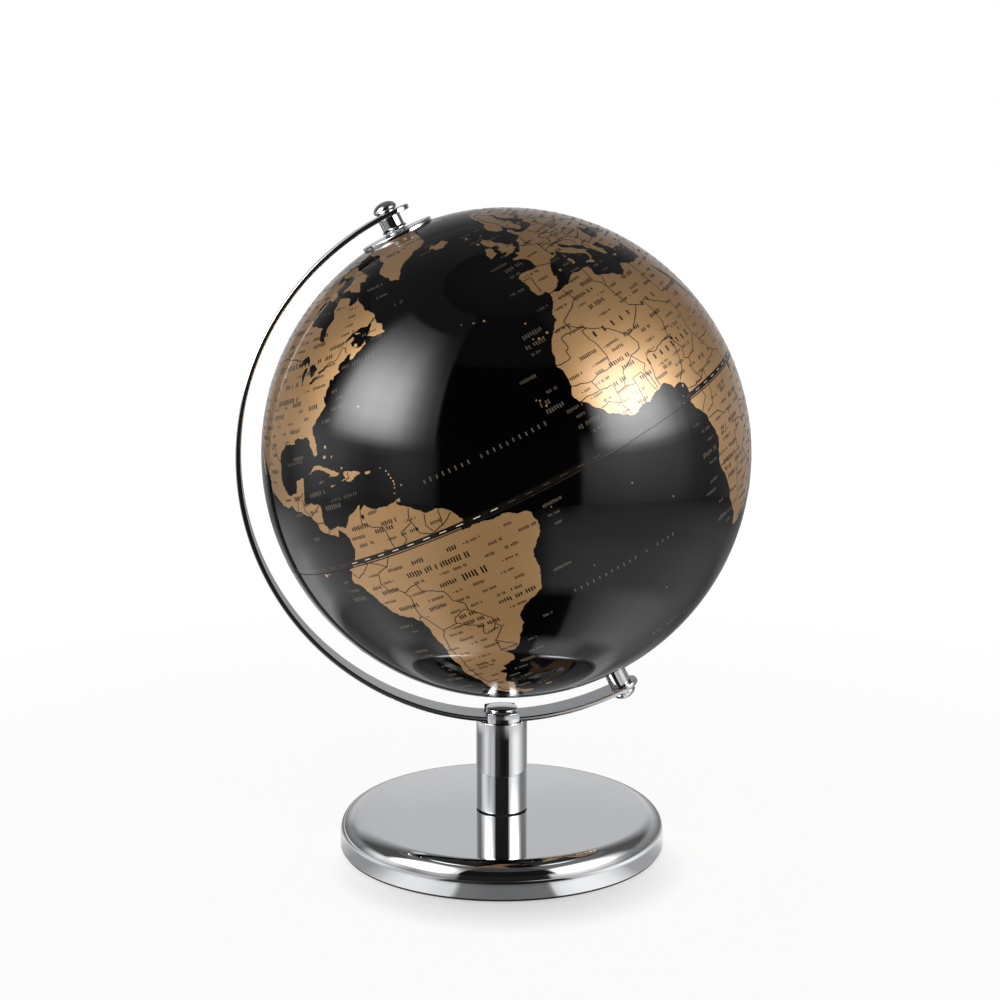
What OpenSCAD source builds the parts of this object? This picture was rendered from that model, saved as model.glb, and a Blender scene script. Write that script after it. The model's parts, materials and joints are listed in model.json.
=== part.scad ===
// Desktop globe on a round chrome stand.
// Frame: z = 0 is the floor face of the base pad, +Z up, front faces -Y.
// The column axis is the Z axis. The north pole leans toward -X.

/* [Ball] */
// diameter of the printed ball over its map film
ball_d = 203.2; // [180:0.2:230]
// height of the ball centre above the floor
ball_z = 169.4; // [150:0.2:190]
// sideways offset of the ball centre from the column axis
ball_x = 1.9; // [0:0.1:6]
// lean of the polar axis from vertical, in degrees
tilt = 26.2; // [15:0.1:35]
// wall of each moulded hemisphere
shell_t = 1.8; // [1:0.1:4]
// thickness of the printed map film
film_t = 0.25; // [0.1:0.05:0.6]
// width of the open groove between the two halves of the film
seam_w = 0.5; // [0.2:0.1:1.5]
// height of the joining hoop inside the equator
hoop_h = 10; // [5:1:20]
// thickness of the joining hoop
hoop_t = 2; // [1:0.5:4]

/* [Meridian arm] */
// outer radius of the arm
arm_r = 112.6; // [110:0.1:118]
// thickness of the flat strip
arm_t = 2.0; // [1.5:0.1:3]
// width of the flat strip
arm_w = 14.5; // [10:0.5:20]
// shift of the arm centre from the ball centre, toward the south pole
arm_shift = 1.7; // [0:0.1:3]

/* [Pivots] */
// diameter of the turning pins
pin_d = 4; // [3:0.5:6]
// radial running gap of the pins in the bushes
pin_gap = 0.05; // [0.02:0.01:0.1]
// depth the pins reach inside the ball
pin_reach = 9; // [6:0.5:15]
// diameter of the spacer sleeves
sleeve_d = 9.4; // [8:0.2:12]
// diameter of the dished flange at the north pole
flange_d = 30.6; // [24:0.2:40]
// diameter of the domed screw heads
head_d = 10; // [8:0.2:13]
// height of the domed screw heads
head_h = 4.4; // [3:0.1:6]
// barrel diameter of the pole bushes
bush_d = 12; // [9:0.5:16]

/* [Column] */
// outer diameter of the column tube
column_d = 21.8; // [18:0.2:28]
// wall of the column tube
column_wall = 1.9; // [1:0.1:3]
// height of the column top above the floor
column_top = 55.25; // [45:0.05:70]
// diameter across the two jaws that grip the arm
neck_d = 20.2; // [16:0.2:26]
// height of the jaws above the column top
jaw_h = 4.2; // [3:0.1:6]
// side gap between the arm and each jaw
jaw_gap = 0.1; // [0.05:0.05:0.4]
// diameter of the grooved cap nut that clamps the arm
cap_d = 13.5; // [11:0.1:14]
// height of the grooved cap nut
cap_h = 3.1; // [2.5:0.1:4]
// diameter of the tie rod
rod_d = 6; // [5:0.5:8]

/* [Base] */
// outer diameter of the base cover
base_d = 138.8; // [120:0.2:160]
// height of the base top above the floor
base_h = 15.2; // [12:0.2:25]
// radius of the rounded rim
rim_r = 8; // [3:0.5:10]
// sheet thickness of the base cover
cover_t = 1.2; // [0.8:0.1:2]
// thickness of the floor pad
pad_t = 1.0; // [0.8:0.1:3]
// how far the floor pad stays inside the cover edge
pad_inset = 0.8; // [0.2:0.1:3]

/* [Hidden] */
$fn = 96;
// length of the cutting shapes, longer than anything they cut through
through = 300;
ball_r = ball_d / 2;
film_in = ball_r - film_t;
shell_r = film_in - 0.05;
shell_in = shell_r - shell_t;
arm_in = arm_r - arm_t;
// rounding radius of the arm's ends and the angle the sweep runs past the poles
tip_r = arm_w / 2 + 0.15;
tip_reach = 6;
north_tip_beyond = 2;
sleeve_r = sleeve_d / 2;
// the arm hugs the pole at these distances from the ball centre
north_in = sqrt(arm_in * arm_in - sleeve_r * sleeve_r) - arm_shift;
north_out = arm_r - arm_shift;
south_in = sqrt(arm_in * arm_in - sleeve_r * sleeve_r) + arm_shift;
south_out = arm_r + arm_shift;
// faces of the pivot stack, measured from the ball centre along the axis
hub_top = ball_r + 0.95;
washer_in = hub_top + 0.1;
washer_out = washer_in + 0.5;
pin_end = ball_r - pin_reach;
bush_r = bush_d / 2;
bush_end = ball_r - 10;
thread_d = 4;
screw_reach = 5.5;
dome_r = head_d * 0.62;
hub_r = 6.4;
flange_rise = 0.45;
flange_round = 0.6;
flange_hollow = 5;
film_clear = 0.08;
// column and arm seat
column_r = column_d / 2;
bore_r = column_r - column_wall;
plug_r = bore_r - 0.05;
plug_h = 10;
cap_z = column_top + arm_t + 0.5;
cap_bore = 2.0;
cap_round = 0.9;
cap_crown = 0.5;
crown_r = (cap_d * cap_d / 4 + cap_crown * cap_crown) / (2 * cap_crown);
groove_z = 1.3;
groove_r = 0.5;
rod_r = rod_d / 2;
rod_low = pad_t + 0.6;
rod_top = cap_z + cap_bore - 0.2;
// base insides
base_r = base_d / 2;
weight_gap = 0.3;
weight_top = base_h - cover_t - 0.1;
weight_low = pad_t + 0.2;
pocket_top = 8.2;
pocket_r = 14;
washer_t = 1.2;
nut_h = 5;
nut_af = 10;
chrome_c = [0.86, 0.87, 0.89];

// ring or tube from radius a to radius b, standing on z = 0
module ring(a, b, h) {
  difference() {
    cylinder(r = b, h = h);
    translate([0, 0, -1]) cylinder(r = a, h = h + 2);
  }
}

// half section of a disc with a rounded upper edge
module disc_section(r, h, f) {
  union() {
    square([r - f, h]);
    square([r, h - f]);
    intersection() {
      translate([r - f, h - f]) circle(r = f);
      square([r, h]);
    }
  }
}

// places children on the polar axis with the ball centre as origin
module on_axis() {
  translate([ball_x, 0, ball_z]) rotate([0, -tilt, 0]) children();
}

// places children on the polar axis pointing out of the south pole
module on_south() {
  on_axis() rotate([180, 0, 0]) children();
}

module base_pad() {
  color([0.08, 0.08, 0.08])
    cylinder(r = base_r - pad_inset, h = pad_t);
}

module base_cover() {
  color(chrome_c)
    translate([0, 0, pad_t])
    difference() {
      rotate_extrude() disc_section(base_r, base_h - pad_t, rim_r);
      translate([0, 0, -1]) rotate_extrude()
        disc_section(base_r - cover_t, base_h - pad_t - cover_t + 1, rim_r - cover_t);
      cylinder(r = rod_r + 0.3, h = base_h);
    }
}

module base_weight() {
  color([0.25, 0.25, 0.27])
    difference() {
      translate([0, 0, weight_low]) rotate_extrude()
        disc_section(base_r - cover_t - weight_gap, weight_top - weight_low, rim_r - cover_t);
      translate([0, 0, -1]) cylinder(r = pocket_r, h = pocket_top + 1);
      cylinder(r = rod_r + 0.2, h = base_h);
    }
}

module base_washer() {
  color([0.7, 0.7, 0.72])
    translate([0, 0, pocket_top - washer_t]) ring(rod_r + 0.2, 9, washer_t);
}

module base_nut() {
  color([0.7, 0.7, 0.72])
    translate([0, 0, pocket_top - washer_t - nut_h])
    difference() {
      cylinder(r = nut_af / sqrt(3), h = nut_h, $fn = 6);
      translate([0, 0, -1]) cylinder(r = rod_r + 0.05, h = nut_h + 2);
    }
}

module tie_rod() {
  color([0.7, 0.7, 0.72])
    translate([0, 0, rod_low]) cylinder(r = rod_r, h = rod_top - rod_low);
}

module column_foot() {
  color([0.7, 0.7, 0.72])
    translate([0, 0, base_h]) ring(rod_r + 0.2, plug_r, plug_h);
}

module column_tube() {
  color(chrome_c)
    translate([0, 0, base_h]) ring(bore_r, column_r, column_top - base_h);
}

module column_neck() {
  color(chrome_c)
    difference() {
      union() {
        translate([0, 0, column_top - plug_h]) cylinder(r = plug_r, h = plug_h);
        translate([0, 0, column_top]) cylinder(r = neck_d / 2, h = jaw_h);
      }
      translate([-neck_d, -arm_w / 2 - jaw_gap, column_top])
        cube([2 * neck_d, arm_w + 2 * jaw_gap, jaw_h + 1]);
      translate([0, 0, column_top - plug_h - 1]) cylinder(r = rod_r + 0.2, h = plug_h + 2);
    }
}

// low round nut with a groove turned round its side and a slightly crowned top
module arm_cap_nut() {
  color(chrome_c)
    translate([0, 0, cap_z])
    difference() {
      intersection() {
        rotate_extrude()
        difference() {
          disc_section(cap_d / 2, cap_h, cap_round);
          translate([cap_d / 2 + 0.1, groove_z]) circle(r = groove_r);
        }
        translate([0, 0, cap_h - crown_r]) sphere(r = crown_r);
      }
      translate([0, 0, -1]) cylinder(r = rod_r + 0.05, h = cap_bore + 1);
    }
}

// flat section of the arm swept from angle a to angle b about the arm centre
module arm_arc(a, b) {
  translate([0, 0, -arm_shift]) rotate([90, 0, 0]) rotate([0, 0, a])
    rotate_extrude(angle = b - a)
    translate([arm_in, -arm_w / 2]) square([arm_t, arm_w]);
}

// cuts one end of the arm round, at a given distance beyond the polar axis
module arm_tip_trim(beyond) {
  difference() {
    translate([beyond + 0.5, -arm_w, arm_in - 20]) cube([30, 2 * arm_w, 40]);
    translate([beyond, 0, 0]) cylinder(r = tip_r, h = through);
  }
}

module meridian_arm() {
  color(chrome_c)
    difference() {
      on_axis()
      difference() {
        arm_arc(90 - tip_reach, 270 + tip_reach);
        arm_tip_trim(north_tip_beyond);
        rotate([180, 0, 0]) arm_tip_trim(0);
        translate([0, 0, -through / 2]) cylinder(r = thread_d / 2 + 0.15, h = through);
      }
      cylinder(r = rod_r + 0.2, h = column_top + 10);
    }
}

// domed screw head with its shank, the head seat lies at the given distance
module pivot_screw(seat) {
  color(chrome_c)
    translate([0, 0, seat])
    union() {
      intersection() {
        cylinder(r = head_d / 2, h = head_h);
        translate([0, 0, head_h - dome_r]) sphere(r = dome_r);
      }
      translate([0, 0, -screw_reach]) cylinder(r = thread_d / 2 - 0.05, h = screw_reach + 0.5);
    }
}

module pivot_screw_north() {
  on_axis() pivot_screw(north_out);
}

module pivot_screw_south() {
  on_south() pivot_screw(south_out);
}

// spacer sleeve with the turning pin below it and a blind threaded hole above
module pivot_sleeve(seat) {
  color(chrome_c)
    difference() {
      union() {
        translate([0, 0, washer_out]) cylinder(r = sleeve_r, h = seat - washer_out);
        translate([0, 0, pin_end]) cylinder(r = pin_d / 2, h = washer_out - pin_end + 1);
      }
      translate([0, 0, seat - 4]) cylinder(r = thread_d / 2, h = 5);
    }
}

module pivot_sleeve_north() {
  on_axis() pivot_sleeve(north_in);
}

module pivot_sleeve_south() {
  on_south() pivot_sleeve(south_in);
}

module thrust_washer() {
  color([0.92, 0.91, 0.88])
    translate([0, 0, washer_in]) ring(pin_d / 2 + 0.05, sleeve_r - 0.3, washer_out - washer_in);
}

module thrust_washer_north() {
  on_axis() thrust_washer();
}

module thrust_washer_south() {
  on_south() thrust_washer();
}

// flange hollowed to lie on the ball, with a level top and a low stepped hub
module pole_flange_north() {
  color(chrome_c) on_axis()
    difference() {
      union() {
        translate([0, 0, ball_r - flange_hollow]) rotate_extrude()
          disc_section(flange_d / 2, flange_hollow + flange_rise, flange_round);
        translate([0, 0, ball_r - flange_hollow])
          cylinder(r = hub_r, h = flange_hollow + hub_top - ball_r);
      }
      sphere(r = ball_r + film_clear);
      cylinder(r = pin_d / 2 + 0.3, h = through);
    }
}

// turned bush: a barrel through the shell and a collar glued inside it
module pole_bush(top) {
  color([0.12, 0.12, 0.12])
    difference() {
      union() {
        translate([0, 0, bush_end]) cylinder(r = bush_r, h = top - bush_end);
        intersection() {
          translate([0, 0, bush_end]) cylinder(r = bush_r + 4, h = 20);
          sphere(r = shell_in - 0.05);
        }
      }
      translate([0, 0, bush_end - 1]) cylinder(r = pin_d / 2 + pin_gap, h = 20);
    }
}

module pole_bush_north() {
  on_axis() pole_bush(ball_r - 0.3);
}

module pole_bush_south() {
  on_south() pole_bush(hub_top);
}

// half of a hollow ball above its own equator plane, bored at the pole
module half_ball(outer, inner, low) {
  difference() {
    sphere(r = outer);
    sphere(r = inner);
    translate([-through / 2, -through / 2, low - through]) cube([through, through, through]);
    cylinder(r = bush_r + 0.05, h = through);
  }
}

module hemisphere_north() {
  color([0.07, 0.07, 0.08]) on_axis() half_ball(shell_r, shell_in, 0);
}

module hemisphere_south() {
  color([0.07, 0.07, 0.08]) on_south() half_ball(shell_r, shell_in, 0);
}

module equator_hoop() {
  color([0.07, 0.07, 0.08]) on_axis()
    rotate_extrude($fn = 240)
    difference() {
      circle(r = shell_in - 0.05, $fn = 240);
      translate([-through, -through / 2]) square([through + shell_in - hoop_t, through]);
      translate([0, hoop_h / 2]) square([through, through]);
      translate([0, -hoop_h / 2 - through]) square([through, through]);
    }
}

module map_film_north() {
  color([0.55, 0.42, 0.28]) on_axis() half_ball(ball_r, film_in, seam_w / 2);
}

module map_film_south() {
  color([0.55, 0.42, 0.28]) on_south() half_ball(ball_r, film_in, seam_w / 2);
}

base_pad();
base_cover();
base_weight();
base_washer();
base_nut();
tie_rod();
column_foot();
column_tube();
column_neck();
arm_cap_nut();
meridian_arm();
pivot_screw_north();
pivot_screw_south();
pivot_sleeve_north();
pivot_sleeve_south();
thrust_washer_north();
thrust_washer_south();
pole_flange_north();
pole_bush_north();
pole_bush_south();
hemisphere_north();
hemisphere_south();
equator_hoop();
map_film_north();
map_film_south();
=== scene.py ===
"""The looks of the desktop globe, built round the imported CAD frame.

Lengths are in metres. Places on the map, directions in the studio and the camera's angles are in
degrees, and all other angles are in radians.
The stand is polished metal and the ball is a black lacquered sphere with a raised foil map.
"""
import json
import math
import random

import bmesh
import bpy
import numpy
from mathutils import Matrix, Vector
from mathutils.geometry import delaunay_2d_cdt


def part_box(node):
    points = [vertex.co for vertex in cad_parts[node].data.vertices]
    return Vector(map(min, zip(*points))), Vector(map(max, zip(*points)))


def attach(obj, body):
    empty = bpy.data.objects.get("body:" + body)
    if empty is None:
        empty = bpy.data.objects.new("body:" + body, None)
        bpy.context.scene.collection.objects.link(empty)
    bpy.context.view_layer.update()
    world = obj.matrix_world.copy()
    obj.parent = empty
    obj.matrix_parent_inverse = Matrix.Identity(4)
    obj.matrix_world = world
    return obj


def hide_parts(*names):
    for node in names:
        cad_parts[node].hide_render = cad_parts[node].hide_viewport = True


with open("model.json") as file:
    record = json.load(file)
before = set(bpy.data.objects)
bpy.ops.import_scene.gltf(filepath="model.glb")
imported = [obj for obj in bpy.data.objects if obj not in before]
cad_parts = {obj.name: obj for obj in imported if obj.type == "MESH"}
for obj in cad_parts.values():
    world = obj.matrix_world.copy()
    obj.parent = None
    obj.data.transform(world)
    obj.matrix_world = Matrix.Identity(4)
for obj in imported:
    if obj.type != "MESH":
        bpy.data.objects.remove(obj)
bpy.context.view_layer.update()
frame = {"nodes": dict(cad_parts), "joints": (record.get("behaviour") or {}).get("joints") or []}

MM = 0.001

# ---------------------------------------------------------------- sizes from the frame
JOINT = frame["joints"][0]
BALL_CENTRE = Vector(JOINT["pos_m"])
POLE_AXIS = Vector(JOINT["axis"])
TILT = math.atan2(-POLE_AXIS.x, POLE_AXIS.z)
BALL_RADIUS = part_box("map_film_north")[1].y
NORTH = Matrix.Translation(BALL_CENTRE) @ Matrix.Rotation(-TILT, 4, "Y")
SOUTH = NORTH @ Matrix.Rotation(math.pi, 4, "X")

# ---------------------------------------------------------------- sizes of the stand
BASE_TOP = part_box("base_cover")[1].z
BASE_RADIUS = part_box("base_cover")[1].x
PAD_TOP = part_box("base_pad")[1].z
PAD_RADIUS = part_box("base_pad")[1].x
RIM_RADIUS = 8 * MM
COVER_SHEET = 1.2 * MM
COLUMN_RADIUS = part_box("column_tube")[1].x
COLUMN_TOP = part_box("column_tube")[1].z
COLUMN_BORE = COLUMN_RADIUS - 1.9 * MM
JAW_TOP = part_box("column_neck")[1].z
JAW_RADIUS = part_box("column_neck")[1].y
CAP_LOW, CAP_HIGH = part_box("arm_cap_nut")
CAP_CROWN = 0.5 * MM
ARM_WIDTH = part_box("meridian_arm")[1].y * 2
ARM_THICK = 2.0 * MM
ARM_RADIUS = 112.6 * MM
ARM_SHIFT = 1.7 * MM
ARM_EDGE = 0.45 * MM
ARM_INNER = ARM_RADIUS - ARM_THICK
NORTH_TIP_REACH = 2.0 * MM

# ---------------------------------------------------------------- sizes of the pivots
# Heights are measured from the ball's centre along its axis.
HEAD_RADIUS = 5 * MM
HEAD_HEIGHT = 4.4 * MM
SLEEVE_RADIUS = 4.7 * MM
SEAT_INNER = math.sqrt(ARM_INNER ** 2 - SLEEVE_RADIUS ** 2)
WASHER_TOP = 103.15 * MM
HUB_TOP = 102.55 * MM
HUB_RADIUS = 6.4 * MM
PIN_RADIUS = 2 * MM
PIN_END = 92.6 * MM
FLANGE_RADIUS = 15.3 * MM
FLANGE_RISE = 0.45 * MM

# ---------------------------------------------------------------- layers of the printed ball
OCEAN_RADIUS = BALL_RADIUS - 0.04 * MM
LAND_RADIUS = BALL_RADIUS
PLATE_DEPTH = 0.08 * MM
INK_RADIUS = BALL_RADIUS + 0.015 * MM
INK_ROOT = 0.03 * MM
FILM_DEPTH = 0.2 * MM
SEAM_HALF = 0.25 * MM
FRONT_LONGITUDE = -33.55

# flat faces keep their shading when an extra point sits this near to each rounded edge
SUPPORT = 0.12 * MM
SHARP_EDGE = math.radians(40)


# ================================================================ mesh helpers
def linked(name, data):
    """A new object in the scene for a mesh or a camera."""
    obj = bpy.data.objects.new(name, data)
    bpy.context.scene.collection.objects.link(obj)
    return obj


def piece(mesh, body, material, smooth_angle=35):
    """Shows a mesh as a piece of the same name, which rides on a body and takes its finish from a slot.

    Edges that turn by more than smooth_angle degrees stay sharp. None leaves the shading to the caller.
    """
    obj = linked(mesh.name, mesh)
    if smooth_angle is not None:
        mesh.shade_smooth()
        mesh.set_sharp_from_angle(angle=math.radians(smooth_angle))
    mesh.materials.append(material)
    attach(obj, body)
    return obj


def plain_mesh(name, vertices, faces):
    """A mesh from lists of points and faces, just as they are."""
    mesh = bpy.data.meshes.new(name)
    mesh.from_pydata([tuple(v) for v in vertices], [], faces)
    return mesh


def clean_mesh(name, vertices, faces):
    """A mesh from lists of points and faces, with doubled points merged and faces turned outward."""
    mesh = plain_mesh(name, vertices, faces)
    work = bmesh.new()
    work.from_mesh(mesh)
    bmesh.ops.remove_doubles(work, verts=work.verts, dist=1e-7)
    bmesh.ops.recalc_face_normals(work, faces=work.faces)
    work.to_mesh(mesh)
    work.free()
    return mesh


def quarter(steps):
    """The angles of a quarter turn, from 0 in even steps, with both ends."""
    return [math.pi / 2 * k / steps for k in range(steps + 1)]


def polygon(radius, sides):
    """The corners of a regular polygon round the origin."""
    turns = [2 * math.pi * k / sides for k in range(sides)]
    return [(radius * math.cos(turn), radius * math.sin(turn)) for turn in turns]


def rounded(corners, steps=8):
    """A closed outline from (x, y, radius) corners, each rounded with a true arc.

    Two extra points sit just outside each arc, so that flat faces stay flat when shaded smooth.
    """
    outline = []
    count = len(corners)
    for i, (x, y, radius) in enumerate(corners):
        here = Vector((x, y))
        if radius <= 0:
            outline.append(here)
            continue
        back = (Vector(corners[i - 1][:2]) - here).normalized()
        ahead = (Vector(corners[(i + 1) % count][:2]) - here).normalized()
        half_angle = back.angle(ahead) / 2
        reach = radius / math.tan(half_angle)
        centre = here + (back + ahead).normalized() * radius / math.sin(half_angle)
        start = here + back * reach
        end = here + ahead * reach
        support = min(radius * 0.15, SUPPORT)
        outline.append(start + back * support)
        first = start - centre
        swing = first.angle_signed(end - centre)
        for k in range(steps + 1):
            turn = Matrix.Rotation(-swing * k / steps, 2)
            outline.append(centre + turn @ first)
        outline.append(end + ahead * support)
    return outline


def joined_loops(name, loops, closed):
    """A skin through loops of points, each with as many points as the next."""
    count = len(loops[0])
    faces = []
    for k in range(len(loops) if closed else len(loops) - 1):
        here = k * count
        after = ((k + 1) % len(loops)) * count
        for i in range(count):
            j = (i + 1) % count
            faces.append((here + i, here + j, after + j, after + i))
    return clean_mesh(name, [v for loop in loops for v in loop], faces)


def lathe(name, outline, place=Matrix.Identity(4), segments=128):
    """Turns a closed (radius, height) outline about the local Z axis."""
    loops = []
    for k in range(segments):
        angle = 2 * math.pi * k / segments
        loop = []
        for radius, height in outline:
            radius = max(radius, 0)
            loop.append(place @ Vector((radius * math.cos(angle), radius * math.sin(angle), height)))
        loops.append(loop)
    return joined_loops(name, loops, closed=True)


def extruded(name, outline, low, high, edge):
    """A prism between two heights over a closed outline, with its edges rounded."""
    work = bmesh.new()
    bottom = work.faces.new([work.verts.new((x, y, low)) for x, y in outline])
    grown = bmesh.ops.extrude_face_region(work, geom=[bottom])
    top = [v for v in grown["geom"] if isinstance(v, bmesh.types.BMVert)]
    bmesh.ops.translate(work, verts=top, vec=(0, 0, high - low))
    bmesh.ops.recalc_face_normals(work, faces=work.faces)
    sharp = [e for e in work.edges if e.calc_face_angle(0) > SHARP_EDGE]
    bmesh.ops.bevel(work, geom=sharp, offset=edge, segments=4, profile=0.5, affect="EDGES")
    mesh = bpy.data.meshes.new(name)
    work.to_mesh(mesh)
    work.free()
    return mesh


# ================================================================ materials
class Shader:
    """A Principled material with small helpers for procedural detail."""

    def __init__(self, name, color, metallic=0.0, roughness=0.5, coat=0.0, coat_roughness=0.03):
        self.material = bpy.data.materials.new(name)
        self.material.use_nodes = True
        self.nodes = self.material.node_tree.nodes
        self.links = self.material.node_tree.links
        self.surface = self.nodes["Principled BSDF"]
        self.surface.inputs["Base Color"].default_value = (*color, 1)
        self.surface.inputs["Metallic"].default_value = metallic
        self.surface.inputs["Roughness"].default_value = roughness
        self.surface.inputs["Coat Weight"].default_value = coat
        self.surface.inputs["Coat Roughness"].default_value = coat_roughness
        self.place = self.nodes.new("ShaderNodeTexCoord").outputs["Object"]

    def noise(self, scale, detail=3.0, roughness=0.55):
        """A value between 0 and 1 that wanders with the given number of waves per metre."""
        node = self.nodes.new("ShaderNodeTexNoise")
        node.inputs["Scale"].default_value = scale
        node.inputs["Detail"].default_value = detail
        node.inputs["Roughness"].default_value = roughness
        self.links.new(self.place, node.inputs["Vector"])
        return node.outputs["Fac"]

    def spread(self, value, low, high, low_to, high_to):
        """Maps a value from one range to another."""
        node = self.nodes.new("ShaderNodeMapRange")
        limits = {"From Min": low, "From Max": high, "To Min": low_to, "To Max": high_to}
        for socket, number in limits.items():
            node.inputs[socket].default_value = number
        self.links.new(value, node.inputs["Value"])
        return node.outputs["Result"]

    def blend(self, value, first, second):
        """A colour that goes from first to second as the value goes from 0 to 1."""
        node = self.nodes.new("ShaderNodeMix")
        node.data_type = "RGBA"
        self.links.new(value, node.inputs["Factor"])
        node.inputs["A"].default_value = (*first, 1)
        node.inputs["B"].default_value = (*second, 1)
        return node.outputs["Result"]

    def drive(self, socket, value):
        """Feeds a value or a colour to one of the surface's sockets."""
        self.links.new(value, self.surface.inputs[socket])

    def bump(self, value, depth, strength=1.0):
        """Raises the surface by a depth in metres where the value is 1."""
        node = self.nodes.new("ShaderNodeBump")
        node.inputs["Distance"].default_value = depth
        node.inputs["Strength"].default_value = strength
        self.links.new(value, node.inputs["Height"])
        self.links.new(node.outputs["Normal"], self.surface.inputs["Normal"])


def chrome_material():
    """Mirror plating with faint polishing haze and finger smudges."""
    shader = Shader("chrome_plate", (0.80, 0.81, 0.83), metallic=1.0, roughness=0.03)
    haze = shader.noise(55, detail=4)
    shader.drive("Roughness", shader.spread(haze, 0.35, 0.75, 0.02, 0.055))
    tone = shader.noise(18, detail=2)
    shader.drive("Base Color", shader.blend(tone, (0.78, 0.79, 0.81), (0.84, 0.845, 0.86)))
    return shader.material


def arm_inner_material():
    """The darker brushed inner face of the arm."""
    shader = Shader("arm_satin", (0.34, 0.36, 0.38), metallic=1.0, roughness=0.2)
    grain = shader.noise(700, detail=2)
    shader.drive("Roughness", shader.spread(grain, 0.3, 0.7, 0.16, 0.24))
    tone = shader.noise(30, detail=2)
    shader.drive("Base Color", shader.blend(tone, (0.30, 0.32, 0.34), (0.40, 0.42, 0.44)))
    return shader.material


def zinc_material():
    """Dull zinc plating with a fine grain."""
    shader = Shader("zinc_plate", (0.55, 0.56, 0.58), metallic=1.0, roughness=0.38)
    spangle = shader.noise(900, detail=2)
    shader.drive("Base Color", shader.blend(spangle, (0.47, 0.48, 0.50), (0.66, 0.67, 0.69)))
    shader.drive("Roughness", shader.spread(shader.noise(2500), 0.3, 0.7, 0.3, 0.5))
    return shader.material


def iron_material():
    """Cast iron under thin black paint."""
    shader = Shader("painted_cast_iron", (0.03, 0.03, 0.032), roughness=0.6)
    grain = shader.noise(1500, detail=5, roughness=0.7)
    shader.drive("Base Color", shader.blend(grain, (0.018, 0.018, 0.02), (0.06, 0.06, 0.062)))
    shader.bump(grain, 0.15 * MM)
    return shader.material


def pad_material():
    """Matte closed-cell foam, for the pad, and also laid on the column's foot groove as painted shade."""
    shader = Shader("pad_foam", (0.012, 0.012, 0.012), roughness=0.85)
    cells = shader.noise(2600, detail=2)
    shader.drive("Base Color", shader.blend(cells, (0.008, 0.008, 0.008), (0.022, 0.022, 0.022)))
    shader.bump(cells, 0.08 * MM)
    return shader.material


def plastic_material(name, dark, light, roughness):
    """Moulded plastic with a faint mottle and a fine eggshell surface."""
    shader = Shader(name, dark, roughness=roughness)
    mottle = shader.noise(300, detail=3)
    shader.drive("Base Color", shader.blend(mottle, dark, light))
    shader.drive("Roughness", shader.spread(mottle, 0.3, 0.7, roughness * 0.85, roughness * 1.15))
    shader.bump(shader.noise(1800), 0.01 * MM)
    return shader.material


def ocean_material():
    """Black print under clear lacquer, with a faint waviness in the gloss."""
    shader = Shader("ocean_lacquer", (0.0008, 0.0008, 0.0009), roughness=0.06)
    depth = shader.noise(40, detail=3)
    shader.drive("Base Color", shader.blend(depth, (0.0006, 0.0006, 0.0007), (0.0011, 0.0010, 0.0010)))
    shader.drive("Roughness", shader.spread(shader.noise(90), 0.3, 0.7, 0.05, 0.075))
    return shader.material


def gold_material():
    """Warm foil with a fine metallic flake, under the same lacquer."""
    shader = Shader(
        "map_foil", (0.45, 0.235, 0.085), metallic=0.55, roughness=0.4, coat=1.0, coat_roughness=0.06)
    flake = shader.noise(2600, detail=2, roughness=0.6)
    cloud = shader.noise(35, detail=3)
    shader.drive("Base Color", shader.blend(flake, (0.45, 0.25, 0.10), (0.57, 0.335, 0.14)))
    shader.drive("Roughness", shader.spread(cloud, 0.3, 0.7, 0.37, 0.44))
    return shader.material


def ink_material(name, dark, light):
    """Printed line with slightly uneven ink."""
    shader = Shader(name, dark, roughness=0.06)
    shader.drive("Base Color", shader.blend(shader.noise(1200, detail=2), dark, light))
    return shader.material


CHROME = chrome_material()
ARM_SATIN = arm_inner_material()
ZINC = zinc_material()
IRON = iron_material()
PAD_AND_GROOVE_SHADE = pad_material()
NYLON = plastic_material("nylon_natural", (0.76, 0.75, 0.70), (0.84, 0.83, 0.79), 0.45)
BUSH = plastic_material("bush_acetal", (0.012, 0.012, 0.012), (0.025, 0.025, 0.025), 0.35)
SHELL = plastic_material("shell_styrene", (0.012, 0.012, 0.013), (0.022, 0.022, 0.024), 0.25)
OCEAN = ocean_material()
GOLD = gold_material()
INK = ink_material("ink_dark", (0.006, 0.004, 0.002), (0.014, 0.009, 0.005))
PALE_INK = ink_material("ink_pale", (0.62, 0.58, 0.50), (0.74, 0.70, 0.62))
GREY_INK = ink_material("ink_grey", (0.085, 0.070, 0.052), (0.13, 0.105, 0.075))

NODE_MATERIALS = {
    "base_weight": IRON, "base_washer": ZINC, "base_nut": ZINC, "tie_rod": ZINC, "column_foot": ZINC,
    "thrust_washer_north": NYLON, "thrust_washer_south": NYLON,
    "pole_bush_north": BUSH, "pole_bush_south": BUSH,
    "hemisphere_north": SHELL, "hemisphere_south": SHELL, "equator_hoop": SHELL,
}
for node_name, node_material in NODE_MATERIALS.items():
    node_mesh = frame["nodes"][node_name].data
    node_mesh.materials.clear()
    node_mesh.materials.append(node_material)


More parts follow.
